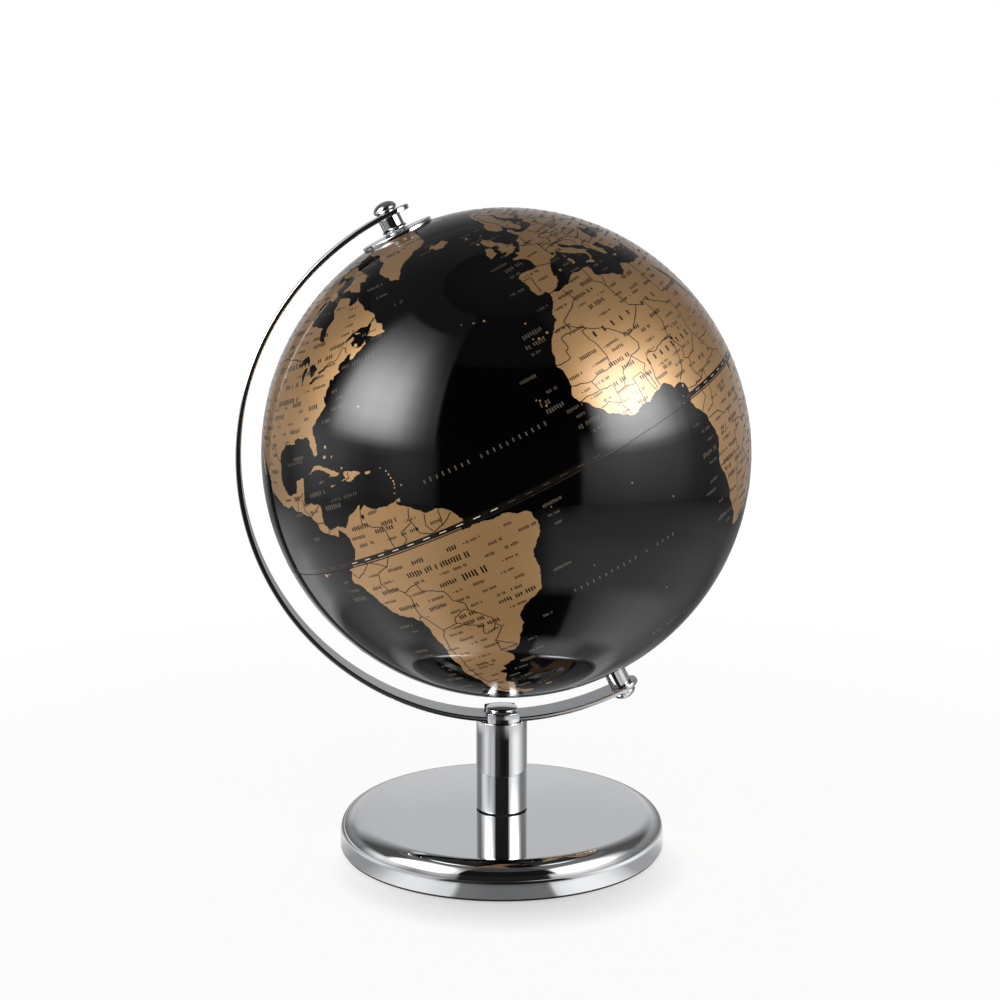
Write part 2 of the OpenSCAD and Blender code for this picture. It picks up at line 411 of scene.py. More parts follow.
# ================================================================ stand
def base_pieces():
    """The round chrome cover with its rolled rim, and the foam pad under it."""
    hole = 6.3 * MM / 2
    outer_lip = 0.5 * MM
    inner_lip = 0.3 * MM
    inner_top = BASE_TOP - COVER_SHEET
    inner_radius = BASE_RADIUS - COVER_SHEET
    outline = rounded([
        (hole, BASE_TOP, 0),
        (BASE_RADIUS, BASE_TOP, RIM_RADIUS),
        (BASE_RADIUS, PAD_TOP, outer_lip),
        (inner_radius, PAD_TOP, inner_lip),
        (inner_radius, inner_top, RIM_RADIUS - COVER_SHEET),
        (hole, inner_top, 0),
    ], steps=14)
    mesh = lathe("base_cover_polished", outline, segments=256)
    cover = piece(mesh, "stand", CHROME)
    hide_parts("base_cover")
    edge = 0.25 * MM
    outline = rounded([
        (0, PAD_TOP, 0), (PAD_RADIUS, PAD_TOP, edge), (PAD_RADIUS, 0, edge), (0, 0, 0),
    ], steps=4)
    mesh = lathe("base_pad_foam", outline, segments=160)
    pad = piece(mesh, "stand", PAD_AND_GROOVE_SHADE)
    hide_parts("base_pad")


def column_piece():
    """The column tube, with a groove round its foot whose faces are painted black as painted shade where
    the column meets the base.
    """
    groove_top = BASE_TOP + 0.55 * MM
    groove_radius = COLUMN_RADIUS - 0.8 * MM
    groove_edge = 0.1 * MM
    foot_edge = 0.25 * MM
    top_edge = 0.45 * MM
    bore_edge = 0.2 * MM
    outline = rounded([
        (COLUMN_BORE, BASE_TOP, 0),
        (groove_radius, BASE_TOP, 0),
        (groove_radius, groove_top, groove_edge),
        (COLUMN_RADIUS, groove_top, foot_edge),
        (COLUMN_RADIUS, COLUMN_TOP, top_edge),
        (COLUMN_BORE, COLUMN_TOP, bore_edge),
    ], steps=6)
    mesh = lathe("column_polished", outline, segments=160)
    tube = piece(mesh, "stand", CHROME)
    # painted shade: the groove's faces take the black foam finish, standing in for the shadow where the
    # column meets the base
    mesh.materials.append(PAD_AND_GROOVE_SHADE)
    painted_shade_top = groove_top + SUPPORT
    for face in mesh.polygons:
        if max(mesh.vertices[k].co.z for k in face.vertices) < painted_shade_top:
            face.material_index = 1
    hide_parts("column_tube")


def neck_pieces():
    """The plug in the column's top, and the two jaws on it that hold the arm."""
    rod_hole = 3.3 * MM
    plug_foot = COLUMN_TOP - 10 * MM
    plug_edge = 0.3 * MM
    plug_radius = COLUMN_BORE - 0.05 * MM
    outline = rounded([
        (rod_hole, plug_foot, 0),
        (plug_radius, plug_foot, plug_edge),
        (plug_radius, COLUMN_TOP, 0),
        (rod_hole, COLUMN_TOP, 0),
    ])
    plug = piece(lathe("neck_plug", outline, segments=96), "stand", CHROME)
    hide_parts("column_neck")

    slot_half = ARM_WIDTH / 2 + 0.1 * MM
    spread = math.acos(slot_half / JAW_RADIUS)
    jaw_edge = 0.35 * MM
    steps = 24
    for side, label in ((-1, "front"), (1, "back")):
        chord = []
        for k in range(steps + 1):
            angle = -spread + 2 * spread * k / steps
            chord.append((JAW_RADIUS * math.sin(angle), side * JAW_RADIUS * math.cos(angle)))
        mesh = extruded("neck_jaw_" + label, chord, COLUMN_TOP, JAW_TOP, jaw_edge)
        jaw = piece(mesh, "stand", CHROME)
        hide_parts("column_neck")


def cap_piece():
    """The round cap nut on the arm, with a groove round it and a crowned top."""
    low, high = CAP_LOW.z, CAP_HIGH.z
    radius = CAP_HIGH.x
    bore = 3.05 * MM
    bore_top = high - 1.3 * MM
    low_edge = 0.3 * MM
    top_edge = 0.9 * MM
    groove = low + 1.3 * MM
    groove_mouth = 0.45 * MM
    groove_floor = 0.25 * MM
    groove_radius = radius - 0.5 * MM
    groove_edge = 0.12 * MM
    crown_start = 0.8
    crown_steps = 8
    crown = []
    for k in range(crown_steps + 1):
        share = crown_start * (1 - k / crown_steps)
        crown.append((radius * share, high - CAP_CROWN * share ** 2, 0))
    outline = rounded([
        (bore, low, 0),
        (radius, low, low_edge),
        (radius, groove - groove_mouth, groove_edge),
        (groove_radius, groove - groove_floor, groove_edge),
        (groove_radius, groove + groove_floor, groove_edge),
        (radius, groove + groove_mouth, groove_edge),
        (radius, high - CAP_CROWN, top_edge),
        *crown,
        (0, bore_top, 0),
        (bore, bore_top, 0),
    ], steps=7)
    cap = piece(lathe("arm_cap_turned", outline, segments=128), "stand", CHROME)
    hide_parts("arm_cap_nut")


def arm_piece():
    """The flat strip bent round the ball, with eased edges and round ends over the pivots."""
    half_width = ARM_WIDTH / 2
    half_thick = ARM_THICK / 2
    middle_radius = ARM_RADIUS - half_thick
    centre = -ARM_SHIFT
    ring = [(ARM_EDGE + SUPPORT, half_thick)]
    for angle in quarter(5):
        inset = ARM_EDGE * (1 - math.sin(angle))
        ring.append((inset, half_thick - ARM_EDGE * (1 - math.cos(angle))))
    ring = ring + [(inset, -height) for inset, height in reversed(ring)]

    def point(along, side, height):
        angle = along / middle_radius
        reach = middle_radius + height
        return NORTH @ Vector((-reach * math.sin(angle), side, centre + reach * math.cos(angle)))

    def section(base, swell, cosine):
        """One loop of points at a distance base from the north pivot.

        On a round end, swell says how far it leans past the pivot and cosine how much it narrows.
        """
        loop = []
        for sign in (1, -1):
            chain = ring if sign == 1 else reversed(ring)
            for inset, height in chain:
                radius = half_width - inset
                loop.append(point(base + swell * radius, sign * radius * cosine, height))
        return loop

    length = math.pi * middle_radius
    body_steps = 240
    tip = quarter(20)
    sections = [section(-NORTH_TIP_REACH, -math.sin(angle), math.cos(angle)) for angle in reversed(tip)]
    sections += [section(length * k / body_steps, 0, 1) for k in range(body_steps)]
    sections += [section(length, math.sin(angle), math.cos(angle)) for angle in tip]

    mesh = joined_loops("arm_strip", sections, closed=False)
    arm = piece(mesh, "stand", CHROME)
    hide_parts("meridian_arm")
    mesh.materials.append(ARM_SATIN)
    arm_centre = NORTH @ Vector((0, 0, centre))
    facing_inward = -0.9
    for face in mesh.polygons:
        outward = (face.center - arm_centre).normalized()
        if face.normal.dot(outward) < facing_inward:
            face.material_index = 1


def pivot_pieces(label, place, arm_inner, arm_outer):
    """A domed screw on the arm, and the spacer sleeve and pin that carry the ball."""
    shank = 1.95 * MM
    shank_end = arm_outer - 5.5 * MM
    flare = 0.9 * MM
    foot = 0.35 * MM
    foot_fillet = 0.3 * MM
    waist = 1.25 * MM
    dome = [(shank, shank_end), (shank, arm_outer), (HEAD_RADIUS - flare, arm_outer)]
    for angle in quarter(20):
        lift = foot + (waist - foot) * math.sin(angle) - foot_fillet * math.cos(angle)
        dome.append((HEAD_RADIUS - flare * (1 - math.sin(angle)), arm_outer + lift))
    for angle in quarter(20)[1:]:
        lift = waist + (HEAD_HEIGHT - waist) * math.sin(angle)
        dome.append((HEAD_RADIUS * math.cos(angle), arm_outer + lift))
    dome.append((0, shank_end))
    head = piece(lathe("pivot_head_" + label, dome, place), "stand", CHROME)
    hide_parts("pivot_screw_" + label)

    pin_edge = 0.4 * MM
    collar = SLEEVE_RADIUS + 0.7 * MM
    collar_edge = 0.2 * MM
    collar_height = 0.4 * MM
    fillet_height = 1.2 * MM
    fillet = 0.8 * MM
    seat_edge = 0.15 * MM
    outline = rounded([
        (0, PIN_END, 0),
        (PIN_RADIUS, PIN_END, pin_edge),
        (PIN_RADIUS, WASHER_TOP, 0),
        (collar, WASHER_TOP, collar_edge),
        (collar, WASHER_TOP + collar_height, collar_edge),
        (SLEEVE_RADIUS, WASHER_TOP + fillet_height, fillet),
        (SLEEVE_RADIUS, arm_inner, seat_edge),
        (0, arm_inner, 0),
    ], steps=6)
    sleeve = piece(lathe("pivot_spacer_" + label, outline, place), "stand", CHROME)
    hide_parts("pivot_sleeve_" + label)


def flange_piece():
    """The flange on the ball, hollowed to fit it, with a level top that flares up to its hub."""
    under = BALL_RADIUS + 0.03 * MM
    top = BALL_RADIUS + FLANGE_RISE
    bore = PIN_RADIUS + 0.3 * MM
    low_edge = 0.15 * MM
    rim = 0.6 * MM
    flare_start = 9.2 * MM
    neck = HUB_RADIUS - 0.9 * MM
    support = 0.1 * MM
    steps = 24
    outline = []
    for k in range(steps + 1):
        radius = bore + (FLANGE_RADIUS - low_edge - bore) * k / steps
        outline.append((radius, math.sqrt(under ** 2 - radius ** 2)))
    outline.append((FLANGE_RADIUS, math.sqrt(under ** 2 - FLANGE_RADIUS ** 2) + low_edge))
    for angle in quarter(8):
        outline.append((
            FLANGE_RADIUS - rim * (1 - math.cos(angle)),
            top - rim * (1 - math.sin(angle)),
        ))
    outline.append((FLANGE_RADIUS - rim - support, top))
    outline.append((flare_start + support, top))
    for angle in quarter(steps):
        outline.append((
            flare_start - (flare_start - neck) * math.sin(angle),
            top + (HUB_TOP - top) * (1 - math.cos(angle)),
        ))
    outline.append((bore, HUB_TOP))
    mesh = lathe("flange_spun", outline, NORTH, segments=160)
    flange = piece(mesh, "globe", CHROME)
    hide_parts("pole_flange_north")


# ================================================================ ball
def on_ball(longitude, latitude, radius):
    """The point at a longitude and latitude on the ball, at a distance from its centre."""
    across = math.radians(longitude - FRONT_LONGITUDE)
    up = math.radians(latitude)
    local = Vector((math.cos(up) * math.sin(across), -math.cos(up) * math.cos(across), math.sin(up)))
    return NORTH @ (local * radius)


def ocean_pieces():
    """Two glossy film shells that meet at a fine open seam round the equator."""
    pole_hole = 6.2 * MM
    first = math.asin(SEAM_HALF / OCEAN_RADIUS)
    last = math.acos(pole_hole / OCEAN_RADIUS)
    steps = 120
    outline = []
    for radius, start, end in ((OCEAN_RADIUS, first, last), (OCEAN_RADIUS - FILM_DEPTH, last, first)):
        for k in range(steps + 1):
            angle = start + (end - start) * k / steps
            outline.append((radius * math.cos(angle), radius * math.sin(angle)))
    for label, place in (("north", NORTH), ("south", SOUTH)):
        mesh = lathe("ocean_" + label, outline, place, segments=320)
        shell = piece(mesh, "globe", OCEAN)
        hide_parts("map_film_" + label)


# ================================================================ geography
# Outlines are "longitude latitude" pairs in degrees, chosen at the main turns of each coast.
# South America south of the equator is moved a little north-west, to lie where the photo shows it.
# The fine wiggle of the coasts is added by a seeded formula.
CONTINENTS = """
north_america: -168 65.6, -166.5 68.3, -163 69.5, -156.5 71.3, -149 70.5, -141 69.6, -136 69, -129 70,
 -124 69.5, -115 68, -108 68, -102 67.8, -96 68.2, -94 71.8, -91 69.5, -88 68.5, -85 69.7, -81.5 69,
 -81.5 67.5, -86 66.3, -87 65, -89 64, -94 62, -94.7 59.5, -92.5 57, -88 56.5, -82.5 55.2, -82.3 53,
 -81 51.5, -79 51.2, -79 54.5, -76.7 56.5, -78.5 59, -77.5 62.5, -73 62, -69.5 61, -69.5 58.8, -66 58.8,
 -64.5 60.3, -62 57.5, -60 55, -57 53.5, -55.8 52, -59 50.3, -65 50.2, -67.5 49.2, -71 46.9, -68.5 48.4,
 -64.8 49.1, -64.5 48.3, -66 47.8, -64.8 46.5, -63.5 45.8, -61.6 45.7, -60.4 47, -60 45.9, -63.5 44.6,
 -65.8 43.5, -66.2 44.3, -64.5 45.4, -67 45, -70 43.7, -70.7 42.7, -70 41.8, -71.3 41.5, -74 40.7,
 -74.1 39.6, -75.3 38.5, -75.9 37, -76.5 38.8, -76.3 37, -75.6 35.3, -77.8 34, -79.3 33.1, -81.3 31.5,
 -81.3 30, -80.2 27.3, -80.3 25.5, -81.2 25.2, -82 26.7, -82.8 28, -82.7 29, -84 30, -85.3 29.7,
 -87.5 30.3, -89.5 30.2, -89.3 29.1, -91.5 29.4, -94 29.6, -96 28.5, -97.4 27.2, -97.3 25, -97.8 22.3,
 -96.5 19.8, -95.8 18.8, -94.5 18.2, -92.2 18.6, -91 18.6, -90.4 20, -90.3 21, -88 21.6, -86.8 21.4,
 -87.5 19.5, -88 18.3, -88.7 16, -86 15.8, -83.2 15, -83.5 12.5, -83.7 10.9, -82 9, -79.6 9.5, -77.4 8.6,
 -77.9 7.3, -79.5 8.9, -80.4 7.3, -82.9 8.1, -83.6 8.6, -85.8 10, -85.8 11, -87.6 13, -90 13.8,
 -92.3 14.6, -94.5 16.2, -96.5 15.7, -99.7 16.7, -102 18, -105 19.3, -105.6 20.5, -105.3 22, -107.5 24.7,
 -109.3 26.3, -111 28, -112.8 30.5, -114.8 31.7, -114.5 30, -112 27.5, -111 25.5, -109.5 23.2,
 -110.3 23.3, -112.2 25.3, -112.3 26.5, -114.8 27.8, -114.2 28.5, -116 30.5, -117.2 32.7, -118.5 34,
 -120.6 34.6, -122 36.8, -122.5 38, -124 40.3, -124.2 43, -124 46, -124.6 48.3, -122.5 47.5, -123 49,
 -127 51, -128.5 53, -130.3 55, -133.5 57.5, -136.5 58.5, -139.8 59.8, -144 60, -148 60.3, -151.5 59.3,
 -151 61, -154 58.8, -158 56.3, -162.5 55, -164.5 54.7, -161 56, -158 58, -162 58.7, -162 60, -165.5 61.5,
 -164.5 63, -161 64, -166 64.5
south_america: -77.4 8.6, -75.5 10.5, -74.5 11.1, -72.2 12, -71.3 12.4, -71.6 11, -70 12.1, -69.5 11.5,
 -68 10.6, -65 10.2, -62 10.7, -62.3 9.8, -60 8.5, -58.5 7.3, -57 6, -54 5.9, -52 4.7, -51 3.5, -50 1.8,
 -51.3 0, -51.1 -0.4, -49.1 -0.3, -48.3 -0.2, -46.5 -0.3, -45.4 -0.7, -42.8 -0.8, -39.8 -1.6, -36.6 -3.1,
 -36.2 -5.3, -36.6 -7.3, -38.3 -9.1, -39.8 -10.8, -40.3 -13.3, -40.5 -15.6, -41.3 -17.8, -42.3 -19.8,
 -44.3 -20.8, -46.3 -21.4, -48.3 -22.6, -49.8 -23.8, -49.9 -26.1, -51.6 -28.1, -53.6 -30.3, -55.1 -32,
 -56.3 -32.7, -58.8 -32.3, -59.7 -31.8, -58.6 -33.3, -58.1 -34.3, -59.1 -36, -63.3 -36.8, -63.6 -38.5,
 -66.3 -38.8, -65 -40.1, -66.6 -41.8, -68.7 -43.8, -67.1 -45.3, -68.9 -47.5, -70.3 -48.5, -69.7 -50.1,
 -69.6 -51, -66.5 -52.5, -68.3 -53.4, -71.3 -52.8, -74.8 -50.8, -76.3 -48.8, -76.8 -45.8, -75.3 -42.8,
 -74.3 -39.8, -75 -37.3, -74.8 -34.8, -73.3 -31.8, -72.8 -27.8, -71.8 -24.8, -71.7 -20.8, -71.5 -16.8,
 -72.8 -15.3, -76.3 -13.3, -77.6 -11.5, -78.5 -9.8, -80.3 -6.1, -81.3 -4.3, -82.5 -3.8, -82.6 -2.3,
 -81.6 -1.2, -81.1 -0.7, -82 -0.6, -80.5 -0.2, -80 0.8, -78.8 1.5, -77.3 3.8, -77.5 6.5, -77.9 7.3
greenland: -73 78.3, -68 80, -60 82, -46 82.6, -35 83.6, -22 82.5, -12 81.5, -18 79, -19 76.5, -20 74,
 -22 72, -22 70.3, -27 68.4, -32 68, -38 65.7, -40.5 64.5, -42.5 61.5, -43.8 59.9, -48 61, -51.5 64,
 -53.5 67, -51 69.3, -54.5 71, -58 75, -66 76, -71 77
eurasia: -5.6 36, -6.4 36.9, -8.9 37, -9.4 38.8, -8.8 41, -9.2 43.1, -8 43.7, -4 43.4, -1.6 43.4,
 -1.2 44.8, -1.1 46, -2.5 47.4, -4.6 48, -4.6 48.6, -1.6 48.7, -1.8 49.7, 0 49.5, 1.6 50.5, 3 51.3,
 4.2 52, 4.8 53, 7 53.5, 8.7 53.9, 8.2 55.5, 8.2 57, 10.5 57.7, 10.3 56.3, 9.6 55.3, 10.9 54.3, 14 54.2,
 16.5 54.5, 18.6 54.6, 19.6 54.5, 21 55.3, 21.2 57, 22.6 57.6, 24.2 57.2, 24 58.3, 23.5 59.2, 28 59.6,
 30 59.9, 28.5 60.6, 25 60.1, 22.8 59.9, 21.4 61, 21.5 63, 25.3 65, 24.2 65.8, 22.2 65.7, 21.5 64.5,
 18 62.5, 17.2 60.8, 18.8 60, 17 58.6, 16.5 57, 15.9 56.1, 14.2 55.5, 12.8 55.5, 12.5 56.5, 11.3 58.5,
 10.6 59.5, 9.5 59, 8 58.1, 5.6 58.7, 5 61, 6.5 62.7, 10 64, 13 66, 15.5 68.3, 19 69.8, 25.8 71, 31 70.3,
 33.5 69.4, 41 67.5, 40.5 66.5, 34 66.6, 34.8 64.5, 38 64.2, 40 64.8, 40 66, 44 66.2, 43.8 68.5, 46.5 67,
 53 68.7, 60 68.8, 68 68.4, 67 71, 70 73, 73 71.5, 72.5 68, 74 68.5, 75 72.5, 80.5 72.2, 80.5 73.6, 87 75,
 98 76.2, 104 77.7, 112 76, 113 73.9, 119 73, 127 73.2, 130 71, 139 72, 141 72.8, 150 71.5, 160 69.7,
 170 69.5, 176 69.7, 181 68.8, 190 66.1, 187 64.4, 182 65.5, 179 64.7, 178 62.6, 170 60, 164 60, 163 58,
 162 55, 160 53.2, 156.7 51, 155.7 54.5, 156 57.5, 161 60.3, 164 62.5, 156.5 61.5, 154.5 59.5, 149 59.6,
 143 59.3, 138 56.5, 135.2 54.7, 139 54, 141.3 53.2, 140.5 50.5, 140.3 48, 138 46.3, 135.5 44, 132 43.2,
 130 42, 127.7 39.7, 129.4 37, 129 35.2, 126.4 34.4, 126.7 37.5, 125 38, 125.2 39.6, 121.3 39, 122 40.7,
 118 39, 119 37.4, 122.5 37, 119.3 35, 121.9 32, 121.9 30.5, 121.5 28.3, 119.5 25.5, 117 23.5, 113.5 22.2,
 110.5 21.2, 109.8 20.3, 108 21.6, 105.8 19, 108.8 15.5, 109.3 12, 107 10.4, 104.8 8.6, 105 10.3,
 102.5 12, 100.9 13.4, 100 12, 99.3 9.3, 100.5 7, 103.3 4.5, 104.2 1.3, 101.3 2.8, 100.3 6, 98.3 8,
 98.7 11, 97.7 15.5, 95.3 15.7, 94.3 16.3, 94 19, 91.8 22.3, 89 21.8, 87 21.3, 86.5 20, 82.3 16.7,
 80.2 15.5, 80.2 12, 79.8 10.3, 77.5 8.1, 76.3 9.8, 74.8 13, 73.3 16.5, 72.8 20, 72.7 21.5, 70.5 20.8,
 69 22.3, 70.3 22.9, 68.2 23.7, 66.7 25.2, 61.7 25.2, 57.3 25.7, 56.5 27, 51.5 27.8, 50 30, 48 30, 48 29,
 50 26.5, 51.2 26, 51.5 24.3, 54 24.2, 56.3 26.2, 56.7 24.3, 59.8 22.5, 57.8 19, 55 17, 52 15.6, 45 12.8,
 43.4 12.7, 42.7 16, 39 21.2, 37.3 24.5, 34.8 28, 34.9 29.5, 34.2 27.8, 32.6 29.9, 32.5 31.1, 34.3 31.3,
 35 32.8, 36 35.8, 36 36.8, 34 36.3, 32.5 36.1, 30.6 36.8, 28 36.7, 27 38.3, 26.3 39.5, 26.8 40.5,
 24 40.6, 22.8 40.5, 24 38, 23 36.5, 21.7 36.9, 21 38.5, 19.4 40.5, 19.4 41.9, 16.5 43.3, 14 45,
 13.6 45.6, 12.3 45.3, 12.4 44.2, 13.6 43.6, 15.9 41.9, 18.5 40.1, 17 40.4, 16.6 38.5, 15.7 38, 15.8 40,
 12.3 41.7, 10.3 43, 8.8 44.4, 7 43.4, 4.5 43.4, 3.1 42.4, 0.8 40.8, -0.3 39.3, 0.2 38.7, -0.7 37.6,
 -2.2 36.7
africa: -5.9 35.8, -6.8 34, -9.7 31.5, -9.8 29.8, -13 27.8, -14.5 26.2, -16 23.8, -17 21, -16.2 19,
 -16.5 16, -17.4 14.7, -16.7 12.4, -15 10.9, -13.3 9, -12.5 7.5, -9.5 5.5, -7.6 4.4, -4 5.3, -2 4.8,
 1 5.9, 4.3 6.3, 6 4.3, 8.5 4.6, 9.6 3.8, 9.8 2, 9.4 0.5, 8.8 -0.7, 11 -3.8, 12.3 -6, 13.3 -8.8, 13.8 -11,
 12.5 -13.5, 11.8 -16.5, 12.5 -18.5, 14.5 -22.5, 15 -26.3, 16.5 -28.7, 18.2 -32, 18.4 -34.2, 20 -34.8,
 23 -34, 25.7 -34, 28.5 -32.7, 31 -29.8, 32.8 -27, 35.5 -24, 35.3 -22, 34.8 -19.8, 37 -17.8, 40.5 -15.5,
 40.5 -11, 39.3 -8, 38.9 -6, 39.3 -4.6, 41 -2, 44 1.5, 48 4.8, 51 10.4, 51.2 11.8, 48 11.2, 44.5 10.5,
 43.2 11.6, 43.2 12.7, 41 14.7, 39.2 15.7, 37.4 18.8, 37 21, 35.5 23.8, 33.8 27, 32.6 29.9, 32.5 31.2,
 30 31.4, 25 31.6, 21.7 32.9, 20 31, 18 30.3, 15.3 32.3, 11 33.3, 10.2 34.3, 11 36.9, 8 36.9, 3 36.8,
 -1 35.7, -3 35.3
australia: 113.7 -22.5, 115 -21.5, 118.8 -20.3, 121.8 -18.5, 122.3 -17, 124.4 -16, 126.8 -14, 129.5 -15,
 130.8 -12.5, 132.6 -11.5, 136.8 -12.2, 135.8 -14.8, 139.2 -17.4, 140.8 -17.5, 141.6 -13, 142.5 -10.8,
 143.7 -14.3, 145.3 -15, 146.3 -18.8, 149 -20.5, 150.8 -23.3, 153.2 -26, 153.6 -28.7, 152.5 -32.3,
 150.8 -34.8, 149.9 -37.5, 146.4 -39, 143.5 -38.8, 140.6 -38, 139.5 -35.7, 138.1 -34.3, 137.8 -32.6,
 136 -34.8, 134 -32.7, 131.2 -31.5, 126 -32.3, 123.6 -33.9, 118 -35, 115.1 -34.3, 115.8 -32, 113.5 -26
antarctica: -180 -78.5, -165 -78, -150 -77.2, -135 -74.5, -115 -74, -100 -73.5, -85 -73.2, -75 -72,
 -68 -68, -63 -64.8, -57 -63.3, -60 -66, -61.5 -70, -60 -74, -70 -77, -60 -80, -40 -78, -27 -76, -12 -72,
 0 -70.2, 15 -69.8, 33 -68.8, 40 -69.7, 50 -67, 58 -67, 69 -68.5, 72 -70.5, 78 -68.8, 90 -66.8, 102 -66,
 115 -66.7, 130 -66.2, 145 -67, 160 -69.3, 170 -71.5, 164 -77, 170 -78.3, 180 -78.5
"""

ISLANDS = """
baffin: -80 73.7, -76 72.5, -70 70.5, -67 69, -62 67, -62.5 65.3, -67 65.8, -65 63.5, -65 62, -68 62.7,
 -73 64.5, -78 64.5, -73.5 66.5, -73 68.5, -78 70, -85 70, -90 71.5, -85 73.7
victoria: -105.5 69, -101.5 69.5, -104.5 71, -105 72.8, -112 73, -118.5 71, -117 70, -113 69.2,
 -113.5 68.6
banks: -125.5 72, -123 71.2, -120.5 71.5, -117.5 73.2, -121 74.5, -124 74.2
ellesmere: -90 76.5, -80 76.3, -78 78, -76 79.3, -65 81.5, -62 82.4, -70 83, -85 82.3, -91 81, -87 79.5,
 -88 78
axel: -95 80.7, -88 80.2, -90 78.3, -95 78.5
devon: -92 76, -80 75.7, -80 74.7, -92 74.7
somerset: -95 74, -90.5 73.9, -92 72.8, -95 72.2
prince: -97 73.8, -97 71.8, -102 72.5, -101 73.8
melville: -117 75.5, -109 76.7, -105.5 75.8, -112 74.6
southampton: -87 63.7, -85 65.9, -81 64.2, -83 62.8
newfoundland: -59.3 47.7, -58 49.5, -56 51.6, -55.5 50, -53.5 49.2, -53 46.8, -55.8 46.9
vancouver: -128.2 50.7, -125.5 50.2, -123.4 48.4, -125.5 48.8
anticosti: -64.3 49.8, -61.8 49.2, -63.5 49.3
cuba: -84.9 21.9, -82.5 23.1, -80 23, -77.5 21.8, -75.6 21, -74.2 20.2, -77.7 19.9, -77.2 20.6, -79 21.6,
 -82 22.4
hispaniola: -74.4 18.4, -72.6 18.7, -73.2 19.9, -71.5 19.9, -69.9 19.6, -68.4 18.6, -70.3 18.3,
 -71.5 17.7
puerto: -67.2 18.5, -65.6 18.4, -65.8 18, -67.1 18
jamaica: -78.3 18.4, -76.3 18.1, -77.6 17.8
trinidad: -61.8 10.8, -60.9 10.8, -61.1 10.1, -61.9 10.1
iceland: -22.6 63.9, -18.8 63.4, -14 64.5, -14.7 66, -16.2 66.5, -20.3 65.9, -22.5 66.4, -24.3 65.6,
 -22 64.8
britain: -5.6 50.1, -3.5 50.3, 1.3 51.2, 0.7 51.5, 1.7 52.7, 0.2 53, -0.3 54.3, -2 55.9, -2 57.5,
 -3.2 58.6, -5.1 58.5, -5.8 57, -5 55, -3 54.8, -3 53.4, -4.5 53.2, -4.2 52.3, -5.2 51.8, -3 51.4,
 -5 50.6
ireland: -6.2 52.2, -9.8 51.6, -9.8 53.4, -8.5 54.3, -7.3 55.3, -5.6 54.6, -6.2 53.4
spitsbergen: 11 79.3, 16 80, 26 80.2, 22 78.5, 16.7 76.6, 14 77.6
novaya: 52 71.3, 55 73.3, 60 76.2, 68.5 76.9, 61 75, 57 72.5, 57.5 70.7
severnaya: 96 80.8, 104 79.5, 101 78.3, 95 79.2
siberian: 138 75.8, 146 75.4, 150 74.8, 143 73.6, 139 74.6
sicily: 12.4 37.9, 15.6 38.3, 15.1 36.7
sardinia: 8.3 39, 8.3 41, 9.7 41, 9.6 39.2
corsica: 8.6 41.6, 9.4 43, 9.5 41.8
crete: 23.6 35.5, 26.3 35.3, 24.8 34.9
cyprus: 32.4 34.9, 34.5 35.6, 33.8 34.9
madagascar: 49.3 -12, 50.4 -15.8, 47.2 -24.8, 45 -25.5, 43.4 -22, 44.3 -19.8, 44.4 -16.2, 47 -15.4
ceylon: 79.8 8.2, 80.2 9.8, 81.8 7.5, 80.6 6
sumatra: 95.4 5.6, 97.5 5.2, 100.5 2.2, 103.6 -0.5, 106 -3, 105.8 -5.8, 104.5 -5.8, 102 -3.8, 98.8 1
java: 105.2 -6.7, 108.5 -6.6, 112 -6.6, 114.4 -7.8, 113 -8.4, 108.5 -7.8
borneo: 109 1.6, 111.3 2.5, 113.5 3.5, 117 7, 119 5.2, 117.8 3, 119 1, 117.5 0, 116.3 -3.8, 114.5 -4,
 110.3 -2.8, 109.2 0
sulawesi: 119.5 -5.5, 119 -3, 120 0.8, 125 1.6, 123.5 0.5, 120.3 0.4, 120.7 -1, 123.3 -0.9, 121.5 -2,
 122.6 -4.5, 121.5 -4.6, 120.8 -2.8, 120.4 -5.5
papua: 131 -1, 134 -0.8, 135 -3.2, 137.8 -1.6, 141 -2.6, 144.5 -4, 147.8 -6, 147 -7, 150.7 -10.5,
 147 -9.6, 143.5 -8.5, 142 -9.2, 139 -8, 138 -6.5, 135 -4.4, 133 -4, 132 -2.8
new_britain: 148.4 -5.7, 152 -4.3, 150.5 -6.3
timor: 123.6 -10.3, 127.2 -8.4, 125 -9.5
flores: 119.9 -8.5, 123 -8.3, 121 -8.9
luzon: 120.3 16, 120.7 18.5, 122.2 18.4, 121.6 15.7, 124 13, 120.6 14
mindanao: 122 7, 123.5 8.6, 125.4 9.7, 126.5 7.5, 125.5 5.7
visayas: 122 11.8, 125 12.4, 124.5 10, 122.5 9.3
taiwan: 120.2 23, 121.5 25.2, 121 22.2
hainan: 108.7 19.2, 110 20, 111 19.5, 109.5 18.3
honshu: 130.9 34, 132.5 35.5, 136 35.7, 137 37.2, 139.5 38.5, 140 40.5, 141.4 41.4, 142 39.5, 140.9 37.5,
 140.7 35.7, 138.5 34.7, 136 33.5, 135.2 34.6, 132 34
kyushu: 130 33.5, 131.9 33.3, 131.3 31.4, 130.2 31.3
hokkaido: 140 41.5, 141.7 45.4, 145.3 43.4, 143.2 42
sakhalin: 142 46, 143.3 49.3, 143.2 52.5, 142.8 54.3, 141.7 52, 142 48
tasmania: 144.7 -40.7, 148.3 -40.9, 148 -43, 146 -43.6
new_zealand_north: 172.8 -34.5, 175.5 -36.8, 178.5 -37.7, 177 -39.5, 175.3 -41.6, 173.8 -39.3,
 174.7 -37.8
new_zealand_south: 172.8 -40.6, 174.3 -41.7, 172.8 -43.8, 170.7 -46, 168.4 -46.6, 166.5 -46, 168.5 -44,
 171.5 -41.9
new_caledonia: 164 -20.2, 167 -22.3, 166 -21.9
falklands: -61 -51.5, -58 -51.4, -58.8 -52.2, -61 -52.1
south_georgia: -38 -54, -36 -54.6, -36.8 -54.6
"""

